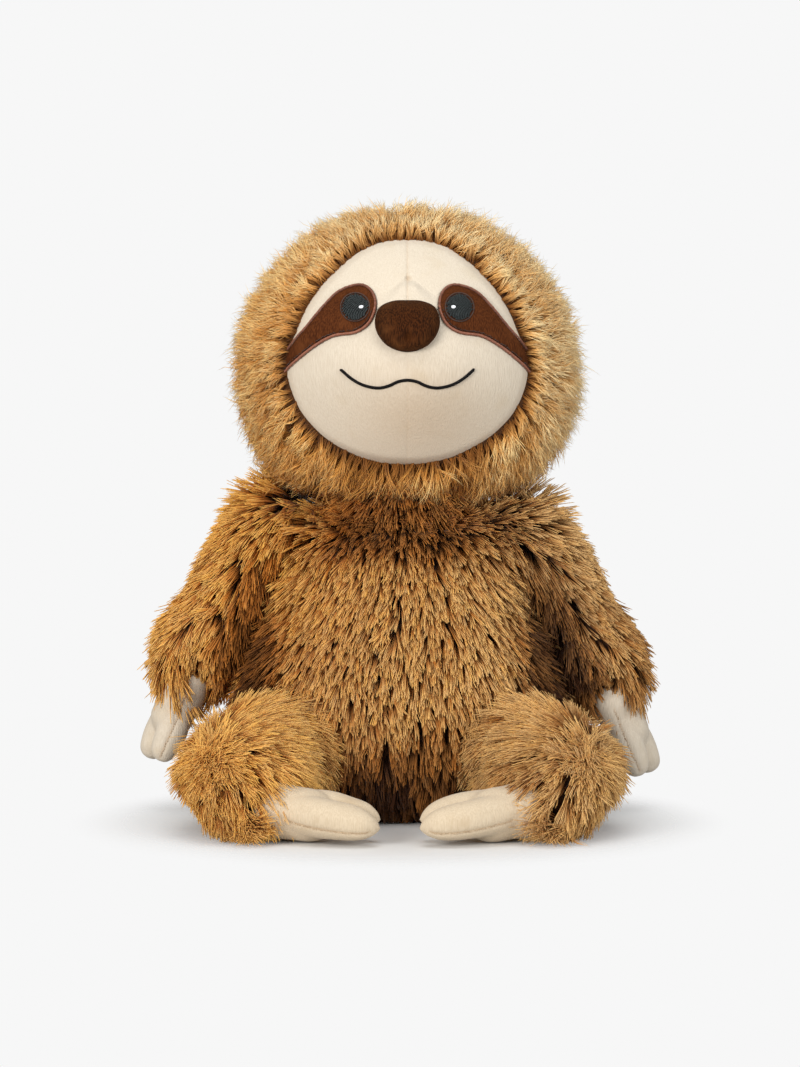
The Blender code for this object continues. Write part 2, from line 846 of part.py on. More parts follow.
def make_foot(side, name):
    """A palm that turns inwards out of the cuff, with two claws side by side."""
    start = ankle(side)
    inward = Vector((-side * FOOT_LENGTH, -FOOT_TURN, TOE_RADIUS - ANKLE_HEIGHT - 2 * GAP))
    apart = Vector((0, TOE_SPREAD, TOE_SPREAD / 4))
    level = Vector((0, 0, 1))
    palm = [(start + along * inward, size * ANKLE_RADIUS) for along, size in FOOT_PALM_SHARES]
    foot = taper(palm, level, f"foot_{name}", CREAM)
    for toe, sign in (("front", -1), ("rear", 1)):
        stations = [
            (start + along * inward + sign * spread * apart, size * TOE_RADIUS)
            for along, spread, size in TOE_STATION_SHARES
        ]
        boolean(foot, taper(stations, level, f"toe_{toe}_{name}"), "UNION")
    return foot


# Assembly

SIDES = ((-1, "right"), (1, "left"))
seat = pivot("seat_origin", (0, 0, 0))
turn = pivot("neck_turn_axis", (0, 0, NECK_HEIGHT), seat)
nod = pivot("neck_nod_axis", (0, 0, NECK_HEIGHT), turn)

floor = floor_cutter()
neck_socket = socket("neck_socket", Vector((0, 0, NECK_HEIGHT)), NECK_RADIUS)
limb_cutters = []
for side, name in SIDES:
    limb_cutters += hip_cutters(side, name)
    limb_cutters.append(root_socket(f"armhole_{name}", *arm_stations(side)[0]))

make_body([neck_socket, *limb_cutters])
neck_mesh = ball_mesh("neck_filling", Vector((0, 0, NECK_HEIGHT)), NECK_RADIUS)
carry(add_object("neck_filling", neck_mesh, FIBRE_WHITE), turn)
make_head()
for side, name in SIDES:
    make_arm(side, name)
    make_leg(side, name)
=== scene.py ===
# %% [markdown]
# # A sitting plush sloth
#
# The real toy is sewn from long-pile fur fabric over polyester fibre. It has a
# cream velour face with brown eye patches, a stuffed nose, and cream claws.
#
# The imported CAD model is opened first. Everything here is built around it, in metres,
# with the face towards -Y and the toy's own left at +X.

import math

import bmesh
import bpy
import numpy as np
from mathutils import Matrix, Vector
from mathutils.bvhtree import BVHTree


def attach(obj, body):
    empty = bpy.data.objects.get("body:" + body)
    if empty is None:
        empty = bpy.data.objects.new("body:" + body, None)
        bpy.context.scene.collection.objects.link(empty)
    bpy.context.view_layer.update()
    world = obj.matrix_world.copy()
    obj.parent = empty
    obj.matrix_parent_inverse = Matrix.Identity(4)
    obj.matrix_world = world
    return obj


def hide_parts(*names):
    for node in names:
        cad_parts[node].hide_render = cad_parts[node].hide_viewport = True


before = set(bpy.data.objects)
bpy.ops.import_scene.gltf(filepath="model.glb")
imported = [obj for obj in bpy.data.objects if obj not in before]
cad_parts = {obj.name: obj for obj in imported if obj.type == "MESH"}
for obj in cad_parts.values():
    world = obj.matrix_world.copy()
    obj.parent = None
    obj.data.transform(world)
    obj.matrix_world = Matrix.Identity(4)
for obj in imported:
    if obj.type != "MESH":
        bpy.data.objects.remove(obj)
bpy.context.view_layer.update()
print("nodes in the frame:", len(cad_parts))

# %% [markdown]
# ## Camera
#
# The photo was taken from just above the toy's shoulders, from about 1.5 m away, with a
# long lens. A pixel of the photo is then half a millimetre in the plane of the body.

# %% Place the camera
CAMERA_DISTANCE = 1.5
CAMERA_HEIGHT = 0.2
CAMERA_TILT = 2.34

camera_data = bpy.data.cameras.new("camera")
camera_data.lens = 101.2
camera = bpy.data.objects.new("camera", camera_data)
bpy.context.collection.objects.link(camera)
camera.location = (0, -CAMERA_DISTANCE, CAMERA_HEIGHT)
camera.rotation_euler = (math.radians(90 - CAMERA_TILT), 0, 0)
bpy.context.scene.camera = camera
print("camera tilt:", CAMERA_TILT, "degrees down")

# %% [markdown]
# ## Shader helpers
#
# A material is a small graph of nodes. One class lets sums on its wires be written as
# plain sums, and one function adds a node: its kind and settings first, then its inputs.


# %% Define the shader helpers
def connect(tree, slot, value):
    """Feeds an input from a wire, or sets it to a plain value."""
    if isinstance(value, Wire):
        tree.links.new(value.socket, slot)
    else:
        slot.default_value = value


def add_node(tree, kind, settings, inputs, output=0):
    node = tree.nodes.new(kind)
    for key, value in settings.items():
        setattr(node, key, value)
    for key, value in inputs.items():
        connect(tree, node.inputs[key], value)
    return Wire(tree, node.outputs[output])


class Wire:
    """One output of a shader node, on which sums make further nodes."""

    def __init__(self, tree, socket):
        self.tree = tree
        self.socket = socket

    def math(self, kind, first, second):
        inputs = {0: first, 1: second}
        return add_node(self.tree, "ShaderNodeMath", {"operation": kind}, inputs)

    def __add__(self, other):
        return self.math("ADD", self, other)

    def __rsub__(self, other):
        return self.math("SUBTRACT", other, self)

    def __mul__(self, other):
        return self.math("MULTIPLY", self, other)

    def step(self, low, high):
        """0 below low, 1 above high, smooth between."""
        settings = {"interpolation_type": "SMOOTHSTEP"}
        inputs = {"Value": self, "From Min": low, "From Max": high}
        return add_node(self.tree, "ShaderNodeMapRange", settings, inputs)


def blend_colours(tree, share, first, second, kind="MIX"):
    settings = {"data_type": "RGBA", "blend_type": kind}
    return add_node(tree, "ShaderNodeMix", settings, {0: share, 6: first, 7: second}, 2)


def attribute(tree, name):
    return add_node(tree, "ShaderNodeAttribute", {"attribute_name": name}, {}, 2)


def noise(tree, stretch, detail=3.0):
    """Noise in the object's own space. stretch is its scale along X, Y and Z."""
    place = add_node(tree, "ShaderNodeTexCoord", {}, {}, 3)
    settings = {"operation": "MULTIPLY"}
    spot = add_node(tree, "ShaderNodeVectorMath", settings, {0: place, 1: stretch})
    inputs = {"Vector": spot, "Scale": 1.0, "Detail": detail, "Roughness": 0.55}
    return add_node(tree, "ShaderNodeTexNoise", {}, inputs)


def new_material(name, rough, sheen=0.0, specular=0.3):
    made = bpy.data.materials.new(name)
    made.use_nodes = True
    tree = made.node_tree
    surface = tree.nodes["Principled BSDF"]
    surface.inputs["Roughness"].default_value = rough
    surface.inputs["Sheen Weight"].default_value = sheen
    surface.inputs["Sheen Roughness"].default_value = 0.4
    surface.inputs["Specular IOR Level"].default_value = specular
    return made, tree, surface


def add_bump(tree, surface, height, distance):
    normal = add_node(tree, "ShaderNodeBump", {}, {"Distance": distance, "Height": height})
    connect(tree, surface.inputs["Normal"], normal)


# %% [markdown]
# ## Colours
#
# The values are written as a painter would read them off a screen, from 0 to 255, and
# are turned into the linear values that a shader needs.


# %% Turn screen colours into linear ones
def colour(red, green, blue):
    linear = []
    for value in (red, green, blue):
        share = value / 255
        linear.append(share / 12.92 if share < 0.04045 else ((share + 0.055) / 1.055) ** 2.4)
    return (*linear, 1.0)


print("cream in linear light:", [round(v, 3) for v in colour(240, 228, 205)])

# %% [markdown]
# ## Materials
#
# Each strand of the pile carries two numbers. "along" runs from 0 at its root to 1 at its
# tip, and "tone" says where between tan and ginger it lies. The pile is dark at the root,
# partly its own colour and partly painted shade, which makes the gaps between the locks
# read as deep.


# %% Make the fur materials
def fur_material(name, root, cool, warm, cool_tip, warm_tip, shade):
    """shade is what every other strand's colour is multiplied by, to tell them apart."""
    made, tree, surface = new_material(name, 0.7, sheen=0.05, specular=0.12)
    tone = attribute(tree, "tone")
    along = attribute(tree, "along")
    middle = blend_colours(tree, tone, cool, warm)
    tip = blend_colours(tree, tone, cool_tip, warm_tip)
    # The dark root colour is partly painted shade, deep in the pile.
    body = blend_colours(tree, along.step(0.1, 0.62), root, middle)
    whole = blend_colours(tree, along.step(0.5, 1.0), body, tip)
    settings = {"noise_dimensions": "1D"}
    grain = add_node(tree, "ShaderNodeTexNoise", settings, {"W": tone * 37.0, "Detail": 2.0})
    dark = blend_colours(tree, 1.0, whole, (*shade, 1), "MULTIPLY")
    light = blend_colours(tree, grain.step(0.35, 0.68), dark, whole)
    connect(tree, surface.inputs["Base Color"], light)
    return made


body_fur = fur_material(
    "body_fur",
    root=colour(62, 32, 12),
    cool=colour(176, 130, 78),
    warm=colour(212, 130, 48),
    cool_tip=colour(234, 195, 138),
    warm_tip=colour(255, 198, 98),
    shade=(0.72, 0.67, 0.61),
)
head_fur = fur_material(
    "head_fur",
    root=colour(150, 96, 44),
    cool=colour(232, 184, 116),
    warm=colour(236, 168, 80),
    cool_tip=colour(255, 232, 182),
    warm_tip=colour(255, 216, 138),
    shade=(0.90, 0.87, 0.83),
)
print("fur materials:", body_fur.name, head_fur.name)

# %% [markdown]
# The woven side of the fur fabric shows only deep between the locks, and its dark colour is
# painted shade, standing for the shadow there. The velour is a short, dense pile with a fine
# nap that lies up and down, and the cream one has a soft sheen. Where cloth folds in, and over
# the chin and the middle of the nose, its colour is painted warmer and darker: painted shade.


# %% Make the cloth materials
def cloth_material(name, base, other, stretch, distance, rough=0.85):
    """Cloth whose colour and height both follow one noise."""
    made, tree, surface = new_material(name, rough, specular=0.2)
    grain = noise(tree, stretch)
    mixed = blend_colours(tree, grain.step(0.3, 0.7), base, other)
    connect(tree, surface.inputs["Base Color"], mixed)
    add_bump(tree, surface, grain, distance)
    return made


def velour_material(name, base, other, worn, ribs, sheen):
    """Short pile with fine upright ribs, and wider patches where the nap lies over."""
    made, tree, surface = new_material(name, 0.85, sheen, specular=0.06)
    rib = noise(tree, (ribs, ribs, ribs * 0.1), 1.0)
    patch = noise(tree, (70.0, 70.0, 70.0), 2.0)
    fine = noise(tree, (2600.0, 2600.0, 2600.0), 1.0)
    mixed = blend_colours(tree, rib.step(0.32, 0.68), base, other)
    mixed = blend_colours(tree, patch.step(0.52, 0.8) * 0.6, mixed, worn)
    # Painted shade: where the cloth carries crease, its colour is multiplied down to a warm dark.
    shade = blend_colours(tree, 1.0, mixed, (0.66, 0.47, 0.30, 1), "MULTIPLY")
    mixed = blend_colours(tree, attribute(tree, "crease") * 0.6, mixed, shade)
    connect(tree, surface.inputs["Base Color"], mixed)
    add_bump(tree, surface, rib * 0.7 + fine * 0.3, 0.0004)
    return made


# The dark brown of the backing is painted shade: it stands for the shadow deep between the locks.
backing = cloth_material(
    "backing", colour(58, 34, 16), colour(84, 52, 26), (900.0, 900.0, 900.0), 0.0003
)
cream = velour_material(
    "cream_velour", colour(204, 191, 172), colour(211, 199, 181), colour(200, 184, 160),
    1900.0, 0.15,
)  # fmt: skip
# A darker copy of the cream velour for the feet: painted shade, for the shade they sit in below
# the fur.
shaded_claw_cloth = velour_material(
    "shaded_claw_velour", colour(194, 176, 150), colour(204, 187, 162), colour(184, 163, 134),
    1900.0, 0.15,
)  # fmt: skip
brown = velour_material(
    "brown_velour", colour(60, 29, 12), colour(90, 48, 22), colour(102, 57, 28), 2400.0, 0.0
)
nose_cloth = velour_material(
    "nose_velour", colour(38, 19, 7), colour(76, 43, 19), colour(104, 64, 33), 2000.0, 0.0
)
fibre = cloth_material(
    "fibre", colour(232, 231, 227), colour(248, 247, 244), (160.0, 160.0, 420.0), 0.0012, 0.9
)
bag_cloth = cloth_material(
    "bag_cloth", colour(150, 149, 146), colour(168, 167, 163), (1300.0, 1300.0, 1300.0), 0.0003
)
print("cloths:", [m.name for m in (backing, cream, brown, nose_cloth, fibre, bag_cloth)])

# %% [markdown]
# Embroidery thread is a smooth, shiny filament. Each stitch is painted lighter in its middle
# than at its ends, as a painted highlight on its arch, and no two lie quite alike, so its
# colour follows the same two numbers as the fur.


# %% Make the thread materials
def thread_material(name, dark, light, rough=0.42, specular=0.4):
    made, tree, surface = new_material(name, rough, specular=specular)
    tone = attribute(tree, "tone")
    along = attribute(tree, "along")
    # Painted highlight: lighter along the middle of each stitch, darker at its ends.
    crown = along.step(0.0, 0.35) * (1.0 - along.step(0.65, 1.0))
    mixed = blend_colours(tree, tone * 0.6 + crown * 0.4, dark, light)
    connect(tree, surface.inputs["Base Color"], mixed)
    return made


border_thread = thread_material("satin_stitch", colour(58, 27, 15), colour(160, 102, 78))
eye_thread = thread_material("eye_stitch", colour(8, 12, 13), colour(38, 46, 46))
rim_thread = thread_material("rim_stitch", colour(30, 20, 16), colour(78, 52, 40))
white_thread = thread_material("white_stitch", colour(222, 226, 232), colour(250, 251, 253))
black_thread = thread_material("black_thread", colour(6, 5, 6), colour(20, 18, 18), 0.7, 0.1)
seam_thread = thread_material("seam_thread", colour(138, 106, 78), colour(208, 184, 152), 0.6)
print("threads:", [m.name for m in (border_thread, eye_thread, white_thread, black_thread)])

# %% [markdown]
# ## Mesh helpers
#
# The big meshes are made from whole arrays of points at once, which is far quicker than
# adding one face after another. Each finished piece is dressed: it rides on a body of
# the frame, and where it stands for a CAD node it replaces that.


# %% Define the mesh helpers
def unit(rows):
    size = np.linalg.norm(rows, axis=-1, keepdims=True)
    return rows / np.maximum(size, 1e-12)


def dots(first, second):
    return np.sum(first * second, axis=-1, keepdims=True)


def smooth(low, high, value):
    share = np.clip((value - low) / (high - low), 0, 1)
    return share * share * (3 - 2 * share)


def mesh_piece(name, verts, faces, material, uv=None, **values):
    """An object from arrays. uv has a row per vertex, and so have the named values."""
    mesh = bpy.data.meshes.new(name)
    corners = faces.shape[1]
    mesh.vertices.add(len(verts))
    mesh.vertices.foreach_set("co", np.ascontiguousarray(verts, np.float32).ravel())
    mesh.loops.add(faces.size)
    mesh.loops.foreach_set("vertex_index", faces.astype(np.int32).ravel())
    mesh.polygons.add(len(faces))
    starts = np.arange(0, faces.size, corners, dtype=np.int32)
    mesh.polygons.foreach_set("loop_start", starts)
    for key, value in values.items():
        made = mesh.attributes.new(key, "FLOAT", "POINT")
        made.data.foreach_set("value", np.asarray(value, np.float32).ravel())
    if uv is not None:
        layer = mesh.uv_layers.new(name="OFBake")
        layer.data.foreach_set("uv", uv.astype(np.float32)[faces.ravel()].ravel())
    mesh.update(calc_edges=True)
    mesh.validate()
    mesh.shade_smooth()
    mesh.materials.append(material)
    obj = bpy.data.objects.new(name, mesh)
    bpy.context.collection.objects.link(obj)
    return obj


def dress(piece, body, node=None):
    """The piece rides on a body. It may stand for a CAD node, which is then hidden."""
    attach(piece, body)
    if node:
        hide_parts(node)
    return piece


def curve_through(rows, steps):
    """A smooth line (Catmull-Rom) through the rows of a table, with steps to each row."""
    rows = np.asarray(rows, float)
    ends = np.vstack([2 * rows[0] - rows[1], rows, 2 * rows[-1] - rows[-2]])
    parts = []
    for i in range(len(rows) - 1):
        a, b, c, d = ends[i : i + 4]
        t = np.arange(steps)[:, None] / steps
        cubic = 2 * b + (c - a) * t + (2 * a - 5 * b + 4 * c - d) * t**2
        parts.append((cubic + (3 * b - a - 3 * c + d) * t**3) / 2)
    parts.append(rows[-1:])
    return np.vstack(parts)


def loop_through(rows, steps):
    """A closed smooth line through the rows of a table."""
    rows = np.asarray(rows, float)
    wrapped = np.vstack([rows[-2:], rows, rows[:3]])
    line = curve_through(wrapped, steps)
    return line[2 * steps : (2 + len(rows)) * steps]


# %% [markdown]
# A skin is a sleeve of backing cloth, kept as rings of points. It can hand out even
# places on itself, and the way that the cloth faces there, for locks to grow from.


# %% Define the skins
class Skin:
    def __init__(self, rings):
        self.rings = rings
        self.middle = rings.mean(axis=1)

    def scatter(self, count, rng):
        """Places spread evenly over the cloth, each with its normal."""
        first = self.rings[:-1]
        above = self.rings[1:]
        right = np.roll(first, -1, axis=1)
        corner = np.roll(above, -1, axis=1)
        area = np.linalg.norm(np.cross(corner - first, above - right), axis=-1)
        share = np.cumsum(area.ravel()) / area.sum()
        cell = np.searchsorted(share, rng.random(count))
        row, side = np.divmod(cell, self.rings.shape[1])
        u = rng.random((count, 1))
        v = rng.random((count, 1))
        low = first[row, side] * (1 - u) + right[row, side] * u
        high = above[row, side] * (1 - u) + corner[row, side] * u
        left = first[row, side] * (1 - v) + above[row, side] * v
        other = right[row, side] * (1 - v) + corner[row, side] * v
        spot = low * (1 - v) + high * v
        facing = unit(np.cross(other - left, high - low))
        outward = spot - self.middle[row]
        return spot, np.where(dots(facing, outward) < 0, -facing, facing)

    def piece(self, name, material, bumps=0.0):
        """The sleeve itself as a closed mesh, its ends drawn together."""
        rows, sides = self.rings.shape[:2]
        points = self.rings.reshape(-1, 3)
        if bumps:
            centre = np.repeat(self.middle, sides, axis=0)
            points = points + unit(points - centre) * ripple(points, 260, 5)[:, None] * bumps
        points = np.vstack([points, self.rings[0].mean(0), self.rings[-1].mean(0)])
        i, j = np.meshgrid(np.arange(rows - 1), np.arange(sides), indexing="ij")
        a = (i * sides + j).ravel()
        b = (i * sides + (j + 1) % sides).ravel()
        faces = np.vstack([np.stack([a, b, b + sides], 1), np.stack([a, b + sides, a + sides], 1)])
        near = np.arange(sides)
        after = (near + 1) % sides
        base = rows * sides
        last = (rows - 1) * sides
        start = np.stack([np.full(sides, base), after, near], 1)
        finish = np.stack([np.full(sides, base + 1), last + near, last + after], 1)
        return mesh_piece(name, points, np.vstack([faces, start, finish]), material)


def ripple(points, scale, seed, parts=7):
    """Smooth values from about -1 to 1 that wander over space."""
    rng = np.random.default_rng(seed)
    ways = unit(rng.normal(size=(parts, 3))) * scale * rng.uniform(0.6, 1.5, (parts, 1))
    starts = rng.uniform(0, 2 * math.pi, parts)
    return np.sin(points @ ways.T + starts).mean(axis=1) * 1.7


def upright_skin(table, bottom, height, size, lean, inset=((0, 0), (1, 0)), sides=64, steps=6):
    """Rings about an upright axis. A row of the table holds a ring's level, its half
    width, and its reach to the front and back, as shares of the height and the size."""
    rows = curve_through(table, steps)
    angle = np.arange(sides) * 2 * math.pi / sides
    level, *spans = [np.maximum(rows[:, k], 0.004)[:, None] for k in range(4)]
    under = np.interp(level, *np.transpose(inset))
    wide, near, far = [
        np.maximum(span * full - under, span * full / 4) for span, full in zip(spans, size)
    ]
    x = lean + wide * np.cos(angle)
    y = (far - near) / 2 + (far + near) / 2 * np.sin(angle)
    z = bottom + level * height + 0 * angle
    return Skin(np.stack([x, y, z], axis=2))


def limb_skin(stations, across, sides=32, steps=8):
    """Rings along a bent limb. across is a direction square to it throughout."""
    rows = curve_through(stations, steps)
    place = rows[:, :3]
    radius = np.maximum(rows[:, 3], 0.0006)
    along = unit(np.gradient(place, axis=0))
    wide = unit(np.cross(across, along))
    deep = np.cross(along, wide)
    angle = (np.arange(sides) * 2 * math.pi / sides)[None, :, None]
    spin = wide[:, None] * np.cos(angle) + deep[:, None] * np.sin(angle)
    return Skin(place[:, None] + spin * radius[:, None, None])


# %% [markdown]
# ## Body and head
#
# The body is a pear that widens to the seat, and the head is a ball that is a little
# wider than tall. The tables hold shares of the full sizes. The backing lies about 8 mm
# inside the CAD surface, which stands for the middle of the pile.

# %% Shape the body and the head
PILE = 0.008
BODY_HEIGHT = 0.151
BODY_TABLE = (
    (0.000, 0.26, 0.26, 0.26),
    (0.002, 0.54, 0.54, 0.54),
    (0.045, 0.78, 0.76, 0.76),
    (0.140, 0.93, 0.90, 0.92),
    (0.290, 1.00, 1.00, 1.00),
    (0.440, 0.95, 1.00, 0.99),
    (0.590, 0.86, 0.91, 0.90),
    (0.730, 0.745, 0.78, 0.80),
    (0.850, 0.69, 0.64, 0.68),
    (0.940, 0.62, 0.49, 0.52),
    (0.985, 0.42, 0.34, 0.36),
    (1.000, 0.14, 0.16, 0.16),
)
HEAD_BOTTOM = 0.1605
HEAD_HEIGHT = 0.132
HEAD_LEAN = 0.0035
HEAD_TABLE = (
    (0.000, 0.20, 0.20, 0.20),
    (0.034, 0.47, 0.50, 0.50),
    (0.087, 0.68, 0.74, 0.72),
    (0.148, 0.82, 0.87, 0.84),
    (0.223, 0.915, 0.94, 0.92),
    (0.300, 0.965, 0.98, 0.97),
    (0.413, 1.00, 1.00, 1.00),
    (0.564, 0.98, 0.98, 0.99),
    (0.640, 0.94, 0.94, 0.97),
    (0.716, 0.88, 0.88, 0.93),
    (0.790, 0.79, 0.79, 0.86),
    (0.867, 0.67, 0.68, 0.75),
    (0.943, 0.49, 0.50, 0.56),
    (0.981, 0.33, 0.33, 0.36),
    (1.000, 0.14, 0.14, 0.14),
)
BODY_SIZE = (0.081, 0.070, 0.060)
BODY_INSET = ((0, 0.004), (0.2, PILE), (0.85, PILE), (0.95, 0.004), (1, 0.002))
HEAD_SIZE = (0.0775, 0.0610, 0.0545)
body_skin = upright_skin(BODY_TABLE, 0.0015, BODY_HEIGHT - 0.006, BODY_SIZE, 0, BODY_INSET)
head_skin = upright_skin(HEAD_TABLE, HEAD_BOTTOM, HEAD_HEIGHT, HEAD_SIZE, HEAD_LEAN)
print("body skin rings:", len(body_skin.rings), "head skin rings:", len(head_skin.rings))

# %% [markdown]
# ## Limbs
#
# An arm hangs from the shoulder and a bent leg comes forward from the hip. Each is a
# stuffed sleeve whose rounded root is sewn to the body.

# %% Shape the arms and legs
SHOULDER = {"right": (-0.066, 0.1445), "left": (0.066, 0.1375)}
SIGN = {"right": -1, "left": 1}
ARM_OUT = 0.0405
ARM_LENGTH = 0.086
ARM_RADIUS = 0.024
ARM_TABLE = (
    (-0.48, -0.08, 0.20),
    (-0.36, -0.07, 0.66),
    (0.00, 0.00, 0.80),
    (0.30, 0.16, 0.82),
    (0.55, 0.45, 0.92),
    (0.80, 0.66, 0.98),
    (0.93, 0.78, 0.94),
    (1.00, 0.86, 0.78),
    (1.03, 0.90, 0.62),
    (1.04, 0.93, 0.30),
)
LEG_OUT = 0.082
LEG_REACH = 0.104
LEG_RISE = 0.035
LEG_RADIUS = 0.032
LEG_TABLE = (
    (0.36, 0.12, 1.05, 0.20),
    (0.46, 0.20, 1.04, 0.66),
    (0.60, 0.40, 1.00, 0.90),
    (0.84, 0.60, 0.98, 0.94),
    (0.92, 0.80, 0.85, 0.95),
    (0.93, 1.00, 0.73, 0.86),
    (0.90, 1.12, 0.62, 0.68),
    (0.88, 1.18, 0.58, 0.30),
)


def sewn_radius(size):
    """Under the pile, but never so thin that the sleeve closes."""
    return max(size - PILE, 0.45 * size)


def arm_skin(side):
    out, height = SHOULDER[side]
    sign = SIGN[side]
    rows = [
        (out + sign * a * ARM_OUT, 0, height - d * ARM_LENGTH, sewn_radius(r * ARM_RADIUS))
        for a, d, r in ARM_TABLE
    ]
    return limb_skin(rows, np.array([0, 1, 0]))


def leg_skin(side):
    sign = SIGN[side]
    rows = [
        (sign * a * LEG_OUT, -b * LEG_REACH, c * LEG_RISE, sewn_radius(r * LEG_RADIUS))
        for a, b, c, r in LEG_TABLE
    ]
    return limb_skin(rows, np.array([0, 0, 1]))


arm_skins = {side: arm_skin(side) for side in SIGN}
leg_skins = {side: leg_skin(side) for side in SIGN}
print("arm skin rings:", len(arm_skins["left"].rings))

# %% [markdown]
# ## How a lock of fur is made
#
# Long pile doesn't lie as single hairs. It gathers in locks: strands that start apart on
# the cloth and draw together towards the tip, where each frays out a little by itself.
# A lock rises from the skin, lies over in the direction in which the fur was combed, and
# sways to one side.


# %% Define the locks
STRAND_SIDES = 3
PATH_STEPS = 12
FLOOR_CLEAR = 0.0007


def lock_paths(root, normal, comb, length, lift, bend, sway, rng):
    """The middle line of each lock, walked in short steps."""
    count = len(root)
    side = np.cross(normal, comb)
    share = (np.arange(PATH_STEPS) + 0.5) / PATH_STEPS
    rise = lift[:, None] * (1 - bend * share) + rng.uniform(-0.08, 0.12, (count, 1))
    wave = rng.uniform(0, 2 * math.pi, (count, 1))
    turn = sway[:, None] * np.sin(wave + share * rng.uniform(2.2, 5.0, (count, 1)))
    turn = turn + rng.normal(0, 0.12, (count, 1))
    way = (
        comb[:, None] * (np.cos(rise) * np.cos(turn))[..., None]
        + side[:, None] * (np.cos(rise) * np.sin(turn))[..., None]
        + normal[:, None] * np.sin(rise)[..., None]
    )
    walked = np.cumsum(way * (length / PATH_STEPS)[:, None, None], axis=1)
    return np.concatenate([root[:, None], root[:, None] + walked], axis=1)


def grow(name, material, rng, root, normal, comb, length, width, thick, tone, shade, lift,
         bend, sway, strands, stops, gather, blunt, fray):  # fmt: skip
    """Locks of tapered three-sided strands, as one mesh. gather is how far they draw
    together, blunt the share of the length of the shortest, and fray how far tips stray."""
    count = len(root)
    path = lock_paths(root, normal, comb, length, lift, bend, sway, rng)
    side = np.cross(normal, comb)
    reach = rng.uniform(blunt, 1.0, (count, strands))
    reach[:, 0] = 1.0
    angle = rng.uniform(0, 2 * math.pi, (count, strands))
    apart = np.sqrt(rng.random((count, strands))) * width[:, None]
    across = (apart * np.cos(angle))[..., None] * side[:, None]
    lengthwise = (apart * np.sin(angle))[..., None]
    frayed = rng.normal(0, 1, (count, strands, 3)) * (fray * length)[:, None, None]
    rows = np.arange(count)[:, None]
    centres = []
    for share in (*stops, 1.0):
        place = np.clip(share * reach * PATH_STEPS, 0, PATH_STEPS - 1e-6)
        low = place.astype(int)
        part = (place - low)[..., None]
        spot = path[rows, low] * (1 - part) + path[rows, low + 1] * part
        opened = 1.0 - gather * share**1.1
        start = comb[:, None] * (1 - share) * 1.5 + normal[:, None] * share
        centres.append(spot + opened * (across + lengthwise * start) + frayed * share**1.5)
    rings = []
    for index, share in enumerate(stops):
        ahead = unit(centres[index + 1] - centres[index])
        wide = unit(np.cross(ahead, normal[:, None] + 0 * ahead))
        deep = np.cross(ahead, wide)
        size = thick[:, None, None] * (1.0 - 0.25 * share)
        for k in range(STRAND_SIDES):
            spin = 2 * math.pi * k / STRAND_SIDES
            rings.append(centres[index] + size * (wide * math.cos(spin) + deep * math.sin(spin)))
    rings.append(centres[-1])
    points = np.stack(rings, axis=2).reshape(-1, 3)
    points[:, 2] = np.maximum(points[:, 2], FLOOR_CLEAR)
    per = len(stops) * STRAND_SIDES + 1
    pattern = [(2, 1, 0)]
    for ring in range(len(stops) - 1):
        for k in range(STRAND_SIDES):
            a = ring * STRAND_SIDES + k
            b = ring * STRAND_SIDES + (k + 1) % STRAND_SIDES
            pattern += [(a, b, b + STRAND_SIDES), (a, b + STRAND_SIDES, a + STRAND_SIDES)]
    base = (len(stops) - 1) * STRAND_SIDES
    pattern += [(base + k, base + (k + 1) % STRAND_SIDES, per - 1) for k in range(STRAND_SIDES)]
    first = np.arange(count * strands)[:, None, None] * per
    faces = (first + np.array(pattern)[None]).reshape(-1, 3)
    own = np.clip(tone[:, None] + rng.normal(0, 0.05, (count, strands)), 0.02, 0.98)
    edge = np.array([-0.005, 0.0, 0.005] * len(stops) + [0.0])
    tones = (own.reshape(-1, 1) + edge).ravel()
    alongs = np.tile(np.repeat([*stops, 1.0], [STRAND_SIDES] * len(stops) + [1]), count * strands)
    alongs = np.minimum(alongs * np.repeat(shade, strands * per), 1.0)
    uv = np.stack([tones, alongs * 0.98 + 0.01], axis=1)
    return mesh_piece(name, points, faces, material, uv, tone=tones, along=alongs)


# %% [markdown]
# A coat is one area of fur. A piece of it holds at most about 190,000 triangles, so a
# large area is shared out over several pieces, by the side that it faces. The locks of a
# coat are combed, drawn together in tufts, and ruffled round a whorl, as on real pile.


# %% Define a coat of fur
PIECE_TRIANGLES = 190000
furs = []


def spread(spots, normals, gap):
    """Thins out places so that about one is left in each cube of side gap."""
    steps = np.floor(spots / gap).astype(np.int64)
    key = steps @ np.array([73856093, 19349663, 83492791])
    kept = np.sort(np.unique(key, return_index=True)[1])
    return spots[kept], normals[kept]


